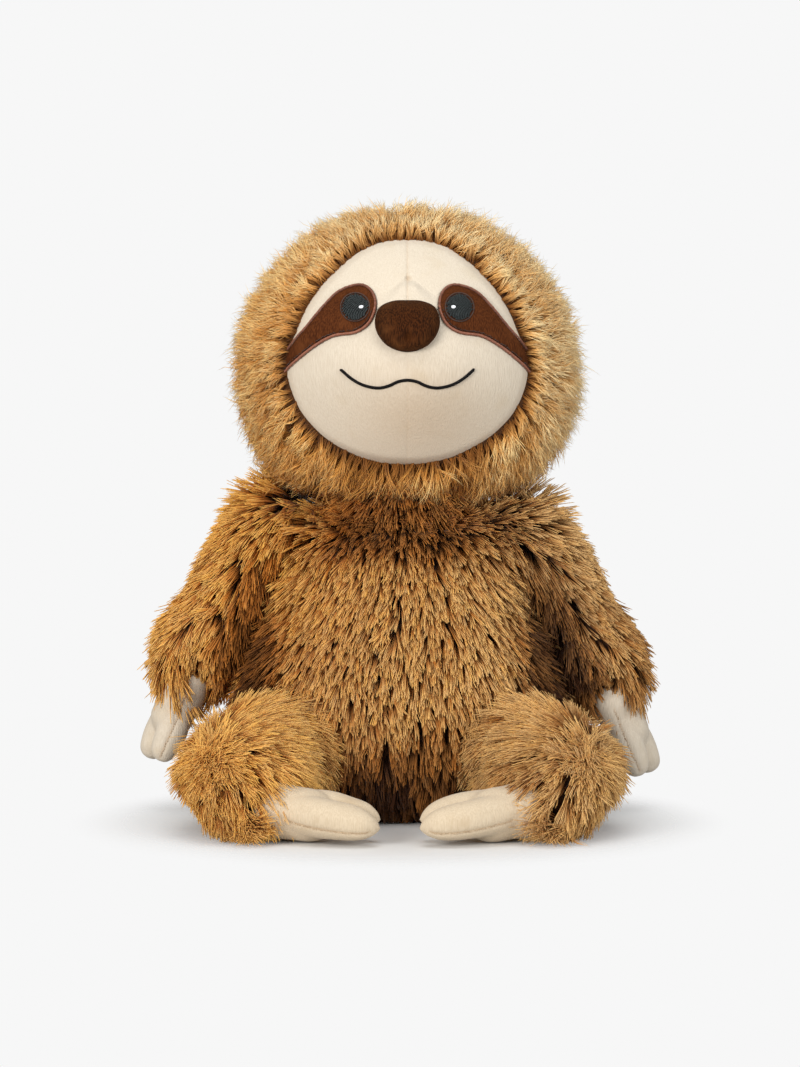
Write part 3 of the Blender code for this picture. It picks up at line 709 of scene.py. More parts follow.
def coat(name, body, material, root, normal, comb, tone, rng, length, width, thick,
         lift=0.9, bend=0.55, sway=0.12, strands=8, stops=(0.0, 0.45, 0.95), gather=0.25,
         blunt=0.85, shade=1.0, stray=0.0, fray=0.025):  # fmt: skip
    """A coat of locks that rides on one body of the frame. stray is the share of locks
    that stand up out of it, and shade below 1 keeps the dark of the root for longer, as
    painted shade; above 1 it paints the pile lighter."""
    count = len(root)
    size = length * rng.uniform(0.8, 1.18, count)
    lift = lift * np.where(rng.random(count) < stray, 1.5, rng.uniform(0.8, 1.2, count))
    width = width + np.zeros(count)
    shade = shade + np.zeros(count)
    triangles = strands * ((len(stops) - 1) * 6 + 4)
    parts = math.ceil(count * triangles / PIECE_TRIANGLES)
    out = root - root.mean(axis=0)
    facing = np.argsort(np.arctan2(out[:, 0], out[:, 1]), kind="stable")
    for part, own in enumerate(np.array_split(facing, parts)):
        made = grow(
            f"{name}_{part + 1}" if parts > 1 else name, material, rng,
            root[own], normal[own], comb[own], size[own],
            width[own] * rng.uniform(0.75, 1.3, len(own)),
            thick * rng.uniform(0.8, 1.2, len(own)),
            tone[own], shade[own], lift[own], bend,
            sway * rng.uniform(0.3, 1.5, len(own)),
            strands, stops, gather, blunt, fray,
        )  # fmt: skip
        furs.append(dress(made, body))
    print(name, "locks:", count, "triangles:", count * triangles)


def comb_along(way, normal):
    """The part of each direction that lies along the skin."""
    return unit(way - normal * dots(way, normal))


def draw_together(way, normal, points, gap, pull):
    """Leans neighbouring locks towards one point, so that the pile falls into tufts."""
    centres = spread(points, normal, gap)[0]
    parts = np.array_split(points, max(1, len(points) // 2000))
    near = [np.argmin(((part[:, None] - centres) ** 2).sum(axis=2), axis=1) for part in parts]
    return comb_along(way + (centres[np.concatenate(near)] - points) * (pull / gap), normal)


def ruffle(way, normal, middle, least, rng):
    """Turns the pile any way round a whorl, where it would part and show the backing."""
    loose = comb_along(rng.normal(size=way.shape) + 0.4 * way, normal)
    return np.where((normal @ unit(np.array(middle)) > least)[:, None], loose, way)


def tousle(way, normal, points, amount, seed):
    """Turns the combed direction a little, alike for near neighbours."""
    angle = (ripple(points, 90, seed) * amount)[:, None]
    return way * np.cos(angle) + np.cross(normal, way) * np.sin(angle)


print("a piece of fur holds at most", PIECE_TRIANGLES, "triangles")

# %% [markdown]
# ## Fur on the body
#
# The pile runs out from the neck at a slant, over the shoulders, and nearly straight down
# on the belly and the back, with a faint parting on the chest. The left side of the toy is
# tan and the right shoulder ginger: painted light, for the shoulder that catches the light.


# %% Comb and tint the fur of the body
def comb_body(points, normals):
    x = points[:, 0]
    high = np.clip((points[:, 2] - 0.05) / 0.095, 0, 1)
    parting = np.sign(x) * smooth(0.009, 0.002, np.abs(x)) * smooth(0.07, 0.09, points[:, 2])
    parting = parting * (points[:, 1] < 0)
    slant = parting * 0.15 + x * (3.0 + np.where(x < 0, 30, 14) * high**3)
    back = np.where(points[:, 1] > 0, 1, -1) * (0.25 * high + 0.9 * high**3)
    way = np.stack([slant, back, -1 + 0 * x], axis=1)
    return tousle(comb_along(way, normals), normals, points, 0.22, 3)


def body_tone(points, rng):
    """1 for ginger and 0 for tan, for the body and the limbs."""
    high = np.clip(points[:, 2] / 0.15, 0, 1)
    aside = np.clip(points[:, 0], -0.06, 0.06)
    # Painted light: the toy's right side, towards the key lamp, is tinted ginger and its left side
    # tan, more so higher up.
    warm = 0.5 - aside * (2.0 + 5.0 * high) + 0.12 * ripple(points, 45, 8)
    return np.clip(warm + rng.normal(0, 0.12, len(points)), 0.03, 0.97)


print("the body is combed and tinted")

# %% [markdown]
# The pile is longer round the collar and beside the arms, where it closes the gaps. Its
# colour is painted darker where little light gets in, as painted shade: under the chin, low
# on the belly, and beside the arms and the legs.

# %% Grow the fur of the body
rng = np.random.default_rng(11)
spots, facing = spread(*body_skin.scatter(110000, rng), 0.0022)
keep = facing[:, 2] > -0.75
spots, facing = spots[keep], facing[keep]
aside, forward, level = np.abs(spots[:, 0]), -spots[:, 1], spots[:, 2]
to_front = smooth(0.2, -0.4, facing[:, 1])
beside_arm = smooth(0.044, 0.056, aside) * smooth(0.045, 0.03, np.abs(forward))
beside_arm = beside_arm * smooth(0.018, 0.036, level)
collar = smooth(0.132, 0.143, level)
gap = smooth(0.028, 0.042, aside) * smooth(0.105, 0.118, level)
# Masks of painted shade: low on the belly, by the legs, in the armpits and under the chin.
belly = smooth(0.07, 0.02, level) * smooth(0.3, -0.4, facing[:, 1])
by_leg = smooth(0.075, 0.06, level) * smooth(0.03, 0.045, aside)
chin = smooth(0.130, 0.141, level) * smooth(0.045, 0.015, aside) * to_front
armpit = beside_arm * smooth(0.006, 0.020, forward) * smooth(0.052, 0.07, level)
dark = np.clip(0.75 * belly + 0.25 * by_leg + 0.75 * armpit + 0.5 * chin, 0, 0.7)
coat(
    "body_fur", "body", body_fur, spots, facing,
    draw_together(comb_body(spots, facing), facing, spots, 0.0072, 0.36),
    body_tone(spots, rng), rng,
    0.0175 + 0.005 * collar + 0.004 * beside_arm + 0.004 * gap, 0.00095, 0.00027,
    lift=0.50 + 0.25 * collar + 0.3 * beside_arm + 0.35 * gap, strands=6,
    shade=0.97 - (dark + 0.12 * ripple(spots, 330, 61)),
)  # fmt: skip

# %% [markdown]
# ## Fur on the head
#
# The pile runs away from the face on every side: up and back over the crown, out over
# the cheeks, and down over the neck. It is lighter, finer and softer than on the body,
# and frays more at its tips. No lock grows where the cream face is sewn in.

# %% Comb and tint the fur of the head
FACE_MIDDLE = np.array([HEAD_LEAN, -0.070, 0.229])
FACE_HALF_WIDTH = 0.0590
FACE_HALF_HEIGHT = 0.0550
FACE_TABLE = (
    (0.0, 1.0),
    (0.18, 0.985),
    (0.38, 0.90),
    (0.60, 0.70),
    (0.79, 0.45),
    (0.92, 0.17),
    (1.0, -0.10),
    (0.985, -0.32),
    (0.88, -0.58),
    (0.68, -0.79),
    (0.42, -0.93),
    (0.20, -0.985),
    (0.0, -1.0),
)


def face_edge(angle):
    """How far the edge of the face is from its middle, in metres. 0 looks sideways."""
    line = curve_through(FACE_TABLE, 6) * (FACE_HALF_WIDTH, FACE_HALF_HEIGHT)
    turn = np.arctan2(line[:, 1], line[:, 0])
    far = np.hypot(line[:, 0], line[:, 1])
    return np.interp(angle, turn[::-1], far[::-1])


def outside_face(points, spare):
    x = np.abs(points[:, 0] - FACE_MIDDLE[0])
    z = points[:, 2] - FACE_MIDDLE[2]
    inside = np.hypot(x, z) < face_edge(np.arctan2(z, x)) - spare
    return ~(inside & (points[:, 1] < 0))


def comb_head(points, normals):
    away = unit(points - (FACE_MIDDLE - (0, 0.006, -0.004)))
    back = smooth(0.005, 0.055, points[:, 1])[:, None]
    low = smooth(0.205, 0.180, points[:, 2])[:, None]
    way = away * (1 - 0.85 * back) + np.array([0, 0.12, -1.0]) * (back * 0.9 + 0.18 + 0.5 * low)
    return tousle(comb_along(way, normals), normals, points, 0.42, 21)


def head_tone(points, rng):
    # Painted light: the crown is tinted paler, for the sheen of the light from above, and the
    # toy's right side warmer, towards the key lamp. The lower fur is warmer too.
    high = smooth(0.25, 0.295, points[:, 2])
    low = smooth(0.215, 0.18, points[:, 2])
    warm = 0.5 - points[:, 0] * 5.0 - 0.45 * high + 0.3 * low + 0.15 * ripple(points, 40, 9)
    return np.clip(warm + rng.normal(0, 0.14, len(points)), 0.03, 0.97)


print("the face is", round(2000 * FACE_HALF_WIDTH), "mm wide")

# %% [markdown]
# The locks against the face are shorter and narrower, so that its sewn edge shows. The
# lower ones hang over the neck, with dark gaps between the tufts, and are painted darker:
# painted shade under the head.

# %% Grow the fur of the head
rng = np.random.default_rng(12)
spots, facing = spread(*head_skin.scatter(90000, rng), 0.0024)
keep = outside_face(spots, 0.0015) & (facing[:, 2] > -0.92)
spots, facing = spots[keep], facing[keep]
at_face = ~outside_face(spots, -0.004)
under = smooth(0.195, 0.175, spots[:, 2])
tuft = ripple(spots, 420, 62) + 0.4 * ripple(spots, 1100, 65)
way = draw_together(comb_head(spots, facing), facing, spots, 0.0095, 0.72)
way = ruffle(way, facing, (0, 0.10, 1.0), 0.978, rng)
# shade paints the lower locks darker: painted shade under the head.
coat(
    "head_fur", "head", head_fur, spots, facing, way,
    head_tone(spots, rng), rng,
    0.0181 * (1 + 0.13 * tuft) + 0.005 * under - 0.005 * at_face,
    np.where(at_face, 0.0010, 0.0022), 0.00016,
    lift=0.80 + 0.1 * at_face - 0.12 * under, bend=1.0, sway=0.5, strands=9,
    stops=(0.0, 0.35, 0.75), gather=0.45, blunt=0.6,
    shade=1.06 - 0.32 * under + 0.40 * tuft, fray=0.09,
)  # fmt: skip

# %% [markdown]
# ## Fur on the arms and legs
#
# On an arm the pile runs down to the wrist. On a leg it runs away from a whorl on the
# knee: inwards over the thigh, down on the outer side, and forward along the floor.


# %% Comb the fur of the arms and legs
KNEE_WHORL = (0.0985, -0.110, 0.058)


def comb_arm(points, normals, side):
    down = np.clip((SHOULDER[side][1] - points[:, 2]) / ARM_LENGTH, 0, 1)[:, None]
    way = np.array([SIGN[side] * 1.0, 0, -0.75]) * (1 - down)
    way = way + np.array([SIGN[side] * 0.12, 0, -1.0]) * down
    return tousle(comb_along(way, normals), normals, points, 0.26, 31 + SIGN[side])


def comb_leg(points, normals, side):
    sign = SIGN[side]
    away = unit(points - np.array(KNEE_WHORL) * (sign, 1, 1))
    way = away * (0.8, 0.25, 0.8) + np.array([sign * -0.12, 0.05, -0.45])
    low = smooth(0.018, 0.004, points[:, 2])[:, None]
    way = way * (1 - low) + np.array([sign * -0.1, -0.9, -0.3]) * low
    return tousle(comb_along(way, normals), normals, points, 0.36, 41 + sign)


print("the whorl of a knee is", KNEE_WHORL[2], "m above the floor")

# %% [markdown]
# The sleeve ends in a ragged cuff, which is long on the outer side and short in front,
# where the hand comes out. The pile is long on the inner side of an arm, and painted dark
# there as painted shade between arm and body. Low on the toy's left arm it is painted darker
# too, as painted shade on the side away from the key lamp.


# %% Define the coat of an arm
def arm_coat(side, sign, rng):
    spots, facing = spread(*arm_skins[side].scatter(40000, rng), 0.0021)
    inner = smooth(0.0, 0.7, -facing[:, 0] * sign)
    outer = smooth(0.1, 0.7, facing[:, 0] * sign)
    front = smooth(0.1, 0.75, -facing[:, 1])
    down = (SHOULDER[side][1] - spots[:, 2]) / ARM_LENGTH
    cuff = smooth(0.62, 0.85, down)
    top = smooth(0.15, -0.15, down)
    middle = smooth(0.2, 0.4, down) * smooth(0.7, 0.5, down)
    length = 0.0152 + 0.003 * middle * outer + 0.007 * inner + 0.008 * top * (1 - outer)
    length = length + 0.006 * inner * smooth(0.45, 0.2, down)
    length = length + cuff * (0.011 * outer - 0.012 * front * (1 - outer))
    # Painted shade: darker on the inner side of the arm, and down the toy's left arm, away from
    # the key lamp.
    shade = 1.1 - 0.7 * inner * (1 - 0.5 * cuff) - 0.26 * (sign > 0) * smooth(0.1, 0.4, down)
    way = draw_together(comb_arm(spots, facing, side), facing, spots, 0.0078, 0.58)
    way = ruffle(way, facing, (sign * 0.3, 0, 1), 0.93, rng)
    coat(
        f"arm_fur_{side}", f"arm_{side}", body_fur, spots, facing, way,
        body_tone(spots, rng), rng, length, 0.0009, 0.00027,
        lift=(0.44 + 0.4 * top * (1 - outer) + 0.5 * inner) * (1 - 0.3 * cuff),
        strands=6, shade=shade + 0.12 * ripple(spots, 330, 63), fray=0.05,
    )  # fmt: skip


print("an arm is", ARM_LENGTH, "m long to the wrist")

# %% [markdown]
# The pile of a leg hangs over the foot and is short where the leg lies on the floor. The
# whorl on the knee gets a second coat, ruffled any way.


# %% Grow the fur of the arms and legs
def leg_coat(side, sign, rng):
    spots, facing = spread(*leg_skins[side].scatter(50000, rng), 0.0022)
    aside, forward, level = spots[:, 0] * sign, -spots[:, 1], spots[:, 2]
    over_foot = smooth(0.076, 0.06, aside) * smooth(0.016, 0.028, level)
    over_foot = over_foot * smooth(0.07, 0.095, forward)
    knee = smooth(0.050, 0.062, level) * smooth(0.06, 0.08, aside)
    outer_low = smooth(0.2, 0.8, facing[:, 0] * sign) * smooth(0.040, 0.020, level)
    length = 0.0185 + 0.007 * over_foot + 0.004 * knee - 0.009 * outer_low
    length = length + 0.007 * smooth(0.028, 0.010, level) * smooth(0.095, 0.110, forward)
    # shade above 1 paints the leg pile lighter: partly its own golden colour, partly painted light
    # on the upturned top of the leg.
    coat(
        f"leg_fur_{side}", f"leg_{side}", body_fur, spots, facing,
        draw_together(comb_leg(spots, facing, side), facing, spots, 0.009, 0.8),
        body_tone(spots, rng), rng, length, 0.0009, 0.00021,
        lift=0.24 + 0.12 * knee, sway=0.25, strands=8,
        shade=1.12 + 0.3 * ripple(spots, 330, 64), fray=0.07,
    )  # fmt: skip
    near = (facing @ unit(np.array([sign * 0.55, -0.6, 0.58])) > 0.93) & (forward > 0.05)
    spots, facing = np.repeat(spots[near], 2, axis=0), np.repeat(facing[near], 2, axis=0)
    spots = spots + rng.normal(0, 0.0006, spots.shape)
    way = comb_along(rng.normal(size=spots.shape) + (-sign * 0.5, -0.3, -0.5), facing)
    coat(
        f"knee_fur_{side}", f"leg_{side}", body_fur, spots, facing, way,
        body_tone(spots, rng), rng, 0.0165, 0.0012, 0.0002, lift=0.5, bend=0.9, sway=0.6,
        strands=8, shade=1.5, fray=0.10,
    )  # fmt: skip


for side, sign in SIGN.items():
    rng = np.random.default_rng(50 + sign)
    arm_coat(side, sign, rng)
    leg_coat(side, sign, rng)

# %% [markdown]
# The neck is a short sewn tube. Its pile stands out all round and closes the gap between
# the head and the shoulders, also when the head turns.

# %% Grow the fur of the neck
turns = np.linspace(0.04, math.pi - 0.04, 15)
BALL_TABLE = np.stack([0.5 - np.cos(turns) / 2] + [np.sin(turns)] * 3, axis=1)
neck_skin = upright_skin(BALL_TABLE, 0.129, 0.046, (0.0235,) * 3, 0, sides=32, steps=2)
rng = np.random.default_rng(13)
spots, facing = spread(*neck_skin.scatter(12000, rng), 0.0022)
keep = np.abs(spots[:, 2] - 0.153) < 0.014
spots, facing = spots[keep], facing[keep]
way = comb_along(facing * (1, 1, 0) + np.array([0, 0, -0.7]), facing)
# shade 0.6 paints the neck pile darker: painted shade under the head.
coat(
    "neck_fur", "neck", body_fur, spots, facing, way, body_tone(spots, rng), rng,
    0.0235, 0.0012, 0.0003, lift=1.15, shade=0.6, fray=0.06,
)  # fmt: skip

# %% [markdown]
# ## Backing and filling
#
# Each part has its sleeve of dark backing cloth, stuffed with loose fibre. The seat also
# holds a small bag of pellets, which lets the toy sit. Each sleeve stands for the fur
# cover of the CAD model, and each lump of fibre for its filling.


# %% Make the sleeves and what fills them
def shrunk(skin, by):
    """The same skin drawn in all round."""
    sides = skin.rings.shape[1]
    centre = skin.middle[:, None]
    out = skin.rings - centre
    far = np.linalg.norm(out, axis=-1, keepdims=True)
    keep = np.maximum(far - by, far * 0.5) / np.maximum(far, 1e-9)
    rings = centre + out * keep
    lowest, highest = skin.middle[0], skin.middle[-1]
    middle = (lowest + highest) / 2
    ends = unit(highest - lowest)
    flat = (rings - middle) @ ends
    span = np.linalg.norm(highest - lowest) / 2
    pressed = flat * (span - by) / span
    return Skin(rings + (pressed - flat)[..., None] * ends + np.zeros((1, sides, 1)))


for part, skin in (("body", body_skin), ("head", head_skin)):
    sleeve = skin.piece(f"{part}_backing", backing)
    dress(sleeve, part, f"{part}_cover")
for part, skin in (("body", body_skin), ("head", head_skin)):
    lump = shrunk(skin, 0.002).piece(f"{part}_fibre", fibre, 0.001)
    dress(lump, part, f"{part}_filling")
for side in SIGN:
    for part, skins in (("arm", arm_skins), ("leg", leg_skins)):
        sleeve = skins[side].piece(f"{part}_backing_{side}", backing)
        dress(sleeve, f"{part}_{side}", f"{part}_cover_{side}")
        lump = shrunk(skins[side], 0.0015).piece(f"{part}_fibre_{side}", fibre, 0.0006)
        dress(lump, f"{part}_{side}", f"{part}_filling_{side}")

dress(neck_skin.piece("neck_fibre", backing), "neck", "neck_filling")
bag = upright_skin(BALL_TABLE, 0.0085, 0.022, (0.035,) * 3, 0, sides=48, steps=3)
dress(bag.piece("pellet_pouch", bag_cloth, 0.0008), "body", "pellet_bag")
print("sleeves and fillings are in place")

# %% [markdown]
# ## The cream face
#
# Two pieces of velour are joined by a seam down the middle and sewn into the fur. The
# stuffed head pushes them into a dome, with a small muzzle below the nose. A tuck above
# the nose throws two soft folds.

# %% Define the surface of the face
NOSE_MIDDLE = np.array([HEAD_LEAN, 0.2405])
TUCK = np.array([HEAD_LEAN + 0.0006, 0.2632])


def face_depth(x, z):
    """How far the face stands out towards -Y, as in the CAD model."""
    across = (x - HEAD_LEAN) / 0.076
    up = (z - 0.222) / 0.072
    dome = 0.002 + 0.065 * np.sqrt(np.maximum(0, 1 - across**2 - up**2))
    away = np.hypot(x - HEAD_LEAN, z - 0.208) / 0.022
    return dome + 0.006 * np.exp(-(away**2) / 2)


def hill(x, z, place, wide, tall):
    return np.exp(-(((x - place[0]) / wide) ** 2) - ((z - place[1]) / tall) ** 2)


def about_nose(x, z):
    """The direction from the middle of the nose, 0 sideways, and the distance."""
    wide = np.abs(x - HEAD_LEAN)
    return np.arctan2(z - NOSE_MIDDLE[1], wide), np.hypot(wide, z - NOSE_MIDDLE[1])


edge_line = curve_through(FACE_TABLE, 10) * (FACE_HALF_WIDTH, FACE_HALF_HEIGHT)
edge_line = edge_line + (HEAD_LEAN, FACE_MIDDLE[2])
EDGE_TURN, EDGE_FAR = about_nose(*edge_line.T)


def edge_distance(x, z):
    """How far outside the sewn edge of the face a point is, negative inside."""
    turn, far = about_nose(x, z)
    return far - np.interp(turn, EDGE_TURN[::-1], EDGE_FAR[::-1])


def crease(x, z):
    """How much painted shade darkens the cloth: 0 on plain cloth, and up to 1 in the bottom of the
    seam, in the tuck, and over the chin below the mouth.
    """
    # Painted shade in the seam groove, in the pinch of the tuck, and over the chin, where the face
    # turns down away from the light.
    seam = np.exp(-(((x - HEAD_LEAN) / 0.0004) ** 2)) * np.where(z > NOSE_MIDDLE[1], 0.35, 0.1)
    chin = 0.6 * hill(x, z, (HEAD_LEAN + 0.006, 0.199), 0.032, 0.022)
    return np.clip(seam + chin + 0.3 * hill(x, z, TUCK, 0.0006, 0.0016), 0, 1)


def face_relief(x, z):
    """The seam, the tuck and its folds, in metres outwards."""
    seam = -0.0006 * np.exp(-(((x - HEAD_LEAN) / 0.0008) ** 2))
    seam = seam * np.where(z > NOSE_MIDDLE[1], 1.0, 0.35)
    below = np.clip(TUCK[1] - z, 0, None)
    width = 0.0016 + below * 0.95
    fold = np.abs(x - TUCK[0]) / width
    tent = 0.0026 * smooth(1.4, 0.5, fold) * smooth(0, 0.004, below)
    tent = tent * smooth(0.024, 0.014, below)
    pinch = -0.0022 * hill(x, z, TUCK, 0.0015, 0.0013)
    places = np.stack([x, 0 * x, z], axis=-1).reshape(-1, 3)
    cheeks = 0.0006 * ripple(places, 95, 4).reshape(x.shape)
    chin = 0.0030 * hill(x, z, (HEAD_LEAN, 0.2165), 0.034, 0.017)
    return seam + tent + pinch + cheeks + chin


def on_face(x, z, lift=0.0):
    """The point of the face at x and z, raised by lift. The edge rolls back to its seam."""
    roll = np.clip(edge_distance(x, z) / 0.004 + 1, 0, 1.7) ** 2
    return np.stack([x, 0.0045 * roll - face_depth(x, z) - face_relief(x, z) - lift, z], axis=-1)


def grid_faces(rows, columns):
    i, j = np.meshgrid(np.arange(rows - 1), np.arange(columns - 1), indexing="ij")
    a = (i * columns + j).ravel()
    return np.stack([a, a + 1, a + columns + 1, a + columns], axis=1)


def grid_uv(rows, columns):
    down, along = [np.linspace(0.01, 0.99, count) for count in (rows, columns)]
    i, j = np.meshgrid(down, along, indexing="ij")
    return np.stack([i.ravel(), j.ravel()], axis=1)


print("the face is", round(1000 * face_depth(HEAD_LEAN, 0.229)), "mm deep in the middle")

# %% [markdown]
# Each half is a fan of points about the nose. The points crowd near the middle seam,
# where the cloth turns in, and the outer edge rolls back under the fur.


# %% Make the two halves of the face
def make_half(side):
    sign = SIGN[side]
    wanted = math.pi / 2 * np.sin(np.linspace(-1, 1, 161) * math.pi / 2)
    reach = np.interp(wanted, EDGE_TURN[::-1], EDGE_FAR[::-1])[:, None]
    share = np.linspace(0.01, 1.03, 90)[None]
    x = HEAD_LEAN + sign * np.cos(wanted)[:, None] * reach * share
    z = NOSE_MIDDLE[1] + np.sin(wanted)[:, None] * reach * share
    points = on_face(x, z).reshape(-1, 3)
    faces = grid_faces(*x.shape)
    faces = faces if sign < 0 else faces[:, ::-1]
    made = mesh_piece(
        f"face_cloth_{side}", points, faces, cream, grid_uv(*x.shape), crease=crease(x, z)
    )
    return dress(made, "head", f"face_{side}")


face_halves = [make_half(side) for side in SIGN]
print("face pieces:", [piece.name for piece in face_halves])

# %% [markdown]
# ## Stitches
#
# Embroidery is a row of short threads side by side, each arched over what lies below.
# One function makes a whole row at once.


# %% Define stitches
STITCH_STOPS = (0.0, 0.14, 0.5, 0.86, 1.0)
STITCH_SIZES = (0.35, 0.85, 1.0, 0.85, 0.35)
STITCH_SIDES = 5


def stitch_mesh(name, centre, way, up, length, radius, arch, tone, material):
    """Arched threads: each has a middle, a direction, and the way that is up for it."""
    count = len(centre)
    length, radius, arch = [size + np.zeros(count) for size in (length, radius, arch)]
    side = unit(np.cross(way, up))
    rings = []
    for share, size in zip(STITCH_STOPS, STITCH_SIZES):
        along = (share - 0.5) * length
        height = arch * (1 - (2 * share - 1) ** 2)
        middle = centre + way * along[:, None] + up * height[:, None]
        for k in range(STITCH_SIDES):
            spin = 2 * math.pi * k / STITCH_SIDES
            out = side * math.cos(spin) + up * math.sin(spin)
            rings.append(middle + out * (radius * size)[:, None])
    points = np.stack(rings, axis=1).reshape(-1, 3)
    per = len(STITCH_STOPS) * STITCH_SIDES
    pattern = []
    for ring in range(len(STITCH_STOPS) - 1):
        for k in range(STITCH_SIDES):
            a = ring * STITCH_SIDES + k
            b = ring * STITCH_SIDES + (k + 1) % STITCH_SIDES
            pattern += [(a, b, b + STITCH_SIDES), (a, b + STITCH_SIDES, a + STITCH_SIDES)]
    last = per - STITCH_SIDES
    for k in range(1, STITCH_SIDES - 1):
        pattern += [(0, k + 1, k), (last, last + k, last + k + 1)]
    faces = (np.arange(count)[:, None, None] * per + np.array(pattern)[None]).reshape(-1, 3)
    edge = np.tile(np.linspace(-0.005, 0.005, STITCH_SIDES), len(STITCH_STOPS))
    tones = (np.clip(tone, 0.02, 0.98)[:, None] + edge).ravel()
    alongs = np.tile(np.repeat(STITCH_STOPS, STITCH_SIDES), count)
    uv = np.stack([tones, alongs * 0.98 + 0.01], axis=1)
    return mesh_piece(name, points, faces, material, uv, tone=tones, along=alongs)


def even_line(line, gap):
    """Points along a line at equal steps of about gap."""
    pieces = np.linalg.norm(np.diff(line, axis=0), axis=1)
    run = np.concatenate([[0], np.cumsum(pieces)])
    wanted = np.linspace(0, run[-1], max(2, round(run[-1] / gap)))
    return np.stack([np.interp(wanted, run, line[:, k]) for k in range(line.shape[1])], axis=1)


def face_up(x, z):
    """The direction square to the face at x and z."""
    small = 0.0008
    across = on_face(x + small, z) - on_face(x - small, z)
    upward = on_face(x, z + small) - on_face(x, z - small)
    return unit(np.cross(across, upward))


print("a stitch has", len(STITCH_STOPS) * STITCH_SIDES, "points")

# %% [markdown]
# ## Eye patches
#
# A curved piece of brown ribbed velour runs from beside the nose to the outer corner of
# the face. A dense satin stitch covers its raw edge.

# %% Make the eye patches and their borders
PATCH_REACH = 0.058
PATCH_TALL = 0.041
PATCH_LEVEL = 0.2195
UPPER_EDGE = (
    (0.262, 0.74),
    (0.295, 0.92),
    (0.395, 1.0),
    (0.56, 0.93),
    (0.695, 0.75),
    (0.825, 0.53),
    (0.93, 0.36),
    (1.0, 0.235),
    (1.07, 0.12),
)
LOWER_EDGE = (
    (0.262, 0.74),
    (0.315, 0.55),
    (0.425, 0.44),
    (0.61, 0.40),
    (0.76, 0.29),
    (0.89, 0.155),
    (0.965, 0.065),
    (1.04, -0.03),
    (1.07, 0.12),
)


def patch_place(shares, sign):
    x = HEAD_LEAN + sign * shares[..., 0] * PATCH_REACH
    return x, PATCH_LEVEL + shares[..., 1] * PATCH_TALL


def make_patch(side):
    sign = SIGN[side]
    upper = even_line(curve_through(UPPER_EDGE, 8), 0.01)
    lower = even_line(curve_through(LOWER_EDGE, 8), 0.01)
    count = min(len(upper), len(lower))
    upper = upper[np.linspace(0, len(upper) - 1, count).astype(int)][:, None]
    lower = lower[np.linspace(0, len(lower) - 1, count).astype(int)][:, None]
    part = np.linspace(0, 1, 24)[None, :, None]
    x, z = patch_place(lower * (1 - part) + upper * part, sign)
    crown = 0.0006 + 0.0012 * np.sqrt(np.sin(math.pi * part[..., 0]))
    faces = grid_faces(*x.shape)
    faces = faces[:, ::-1] if sign < 0 else faces
    points = on_face(x, z, crown).reshape(-1, 3)
    made = mesh_piece(f"patch_velour_{side}", points, faces, brown, grid_uv(*x.shape))
    return dress(made, "head", f"eye_patch_{side}")


def make_border(side, rng):
    sign = SIGN[side]
    closed = np.array(UPPER_EDGE + LOWER_EDGE[-2:0:-1])
    line = loop_through(closed, 10)
    line = np.vstack([line, line[:1]])
    x, z = patch_place(line, sign)
    line = even_line(np.stack([x, z], axis=1), 0.0005)[:-1]
    x, z = line.T
    share = (x - HEAD_LEAN) * sign / PATCH_REACH
    edges = [np.interp(share, *np.transpose(edge)) for edge in (UPPER_EDGE, LOWER_EDGE)]
    under = (z - PATCH_LEVEL) / PATCH_TALL < (edges[0] + edges[1]) / 2
    middle = on_face(x, z, 0.0005)
    up = face_up(x, z)
    ahead = unit(np.roll(middle, -1, axis=0) - np.roll(middle, 1, axis=0))
    aside = unit(np.cross(up, ahead))
    way = unit(aside + (0.3 + 0.12 * rng.normal(size=(len(x), 1))) * ahead)
    count = len(x)
    made = stitch_mesh(
        f"border_stitches_{side}",
        middle,
        way,
        up,
        0.0017 * rng.uniform(0.9, 1.15, count),
        0.00032,
        0.0011 * rng.uniform(0.85, 1.1, count),
        rng.uniform(0.0, 0.4, count) + 0.5 * under,
        border_thread,
    )
    dress(made, "head", f"patch_border_{side}")
    # Dark stitches just inside the lower border stand for the shadow in the gap there: painted
    # shade.
    inside = aside * np.sign(aside[:, 2:])
    low = under & (rng.random(count) < 0.75)
    count = int(low.sum())
    inner = stitch_mesh(
        f"inner_stitches_{side}",
        (middle + inside * rng.uniform(0.0009, 0.0014, (len(middle), 1)))[low],
        unit(ahead + 0.6 * rng.normal(size=(len(middle), 1)) * inside)[low],
        up[low],
        rng.uniform(0.0008, 0.0014, count),
        0.00022,
        0.0014,
        rng.uniform(0.0, 0.25, count),
        rim_thread,
    )
    dress(inner, "head")
    return made


rng = np.random.default_rng(5)
patches = [make_patch(side) for side in SIGN]
borders = [make_border(side, rng) for side in SIGN]
print("border stitches each have", len(borders[0].data.polygons), "faces in all")

# %% [markdown]
# ## Eyes
#
# The eyes are filled with rows of short charcoal stitches, which catch the light as
# small grains. A thin brown rim closes the edge, and a few white stitches make the
# sparkle on the side of the nose.

# %% Make the eyes
EYE_RADIUS = 0.0066
EYE_SPACING = 0.050
EYE_HEIGHT = 0.2497
SPARKLE_INWARD = 0.0030


def stitch_rows(centre, radius, pitch, run, rng):
    """Middles of stitches laid in level rows over a disc."""
    places = []
    for row, level in enumerate(np.arange(-radius + pitch / 2, radius, pitch)):
        half = math.sqrt(max(0, radius**2 - level**2))
        start = -half + (row % 3) * run / 3
        for across in np.arange(start, half, run):
            places.append((across + rng.normal(0, run * 0.08), level + rng.normal(0, pitch * 0.1)))
    places = np.array(places)
    inside = np.hypot(places[:, 0], places[:, 1]) < radius - run * 0.3
    return places[inside] + centre


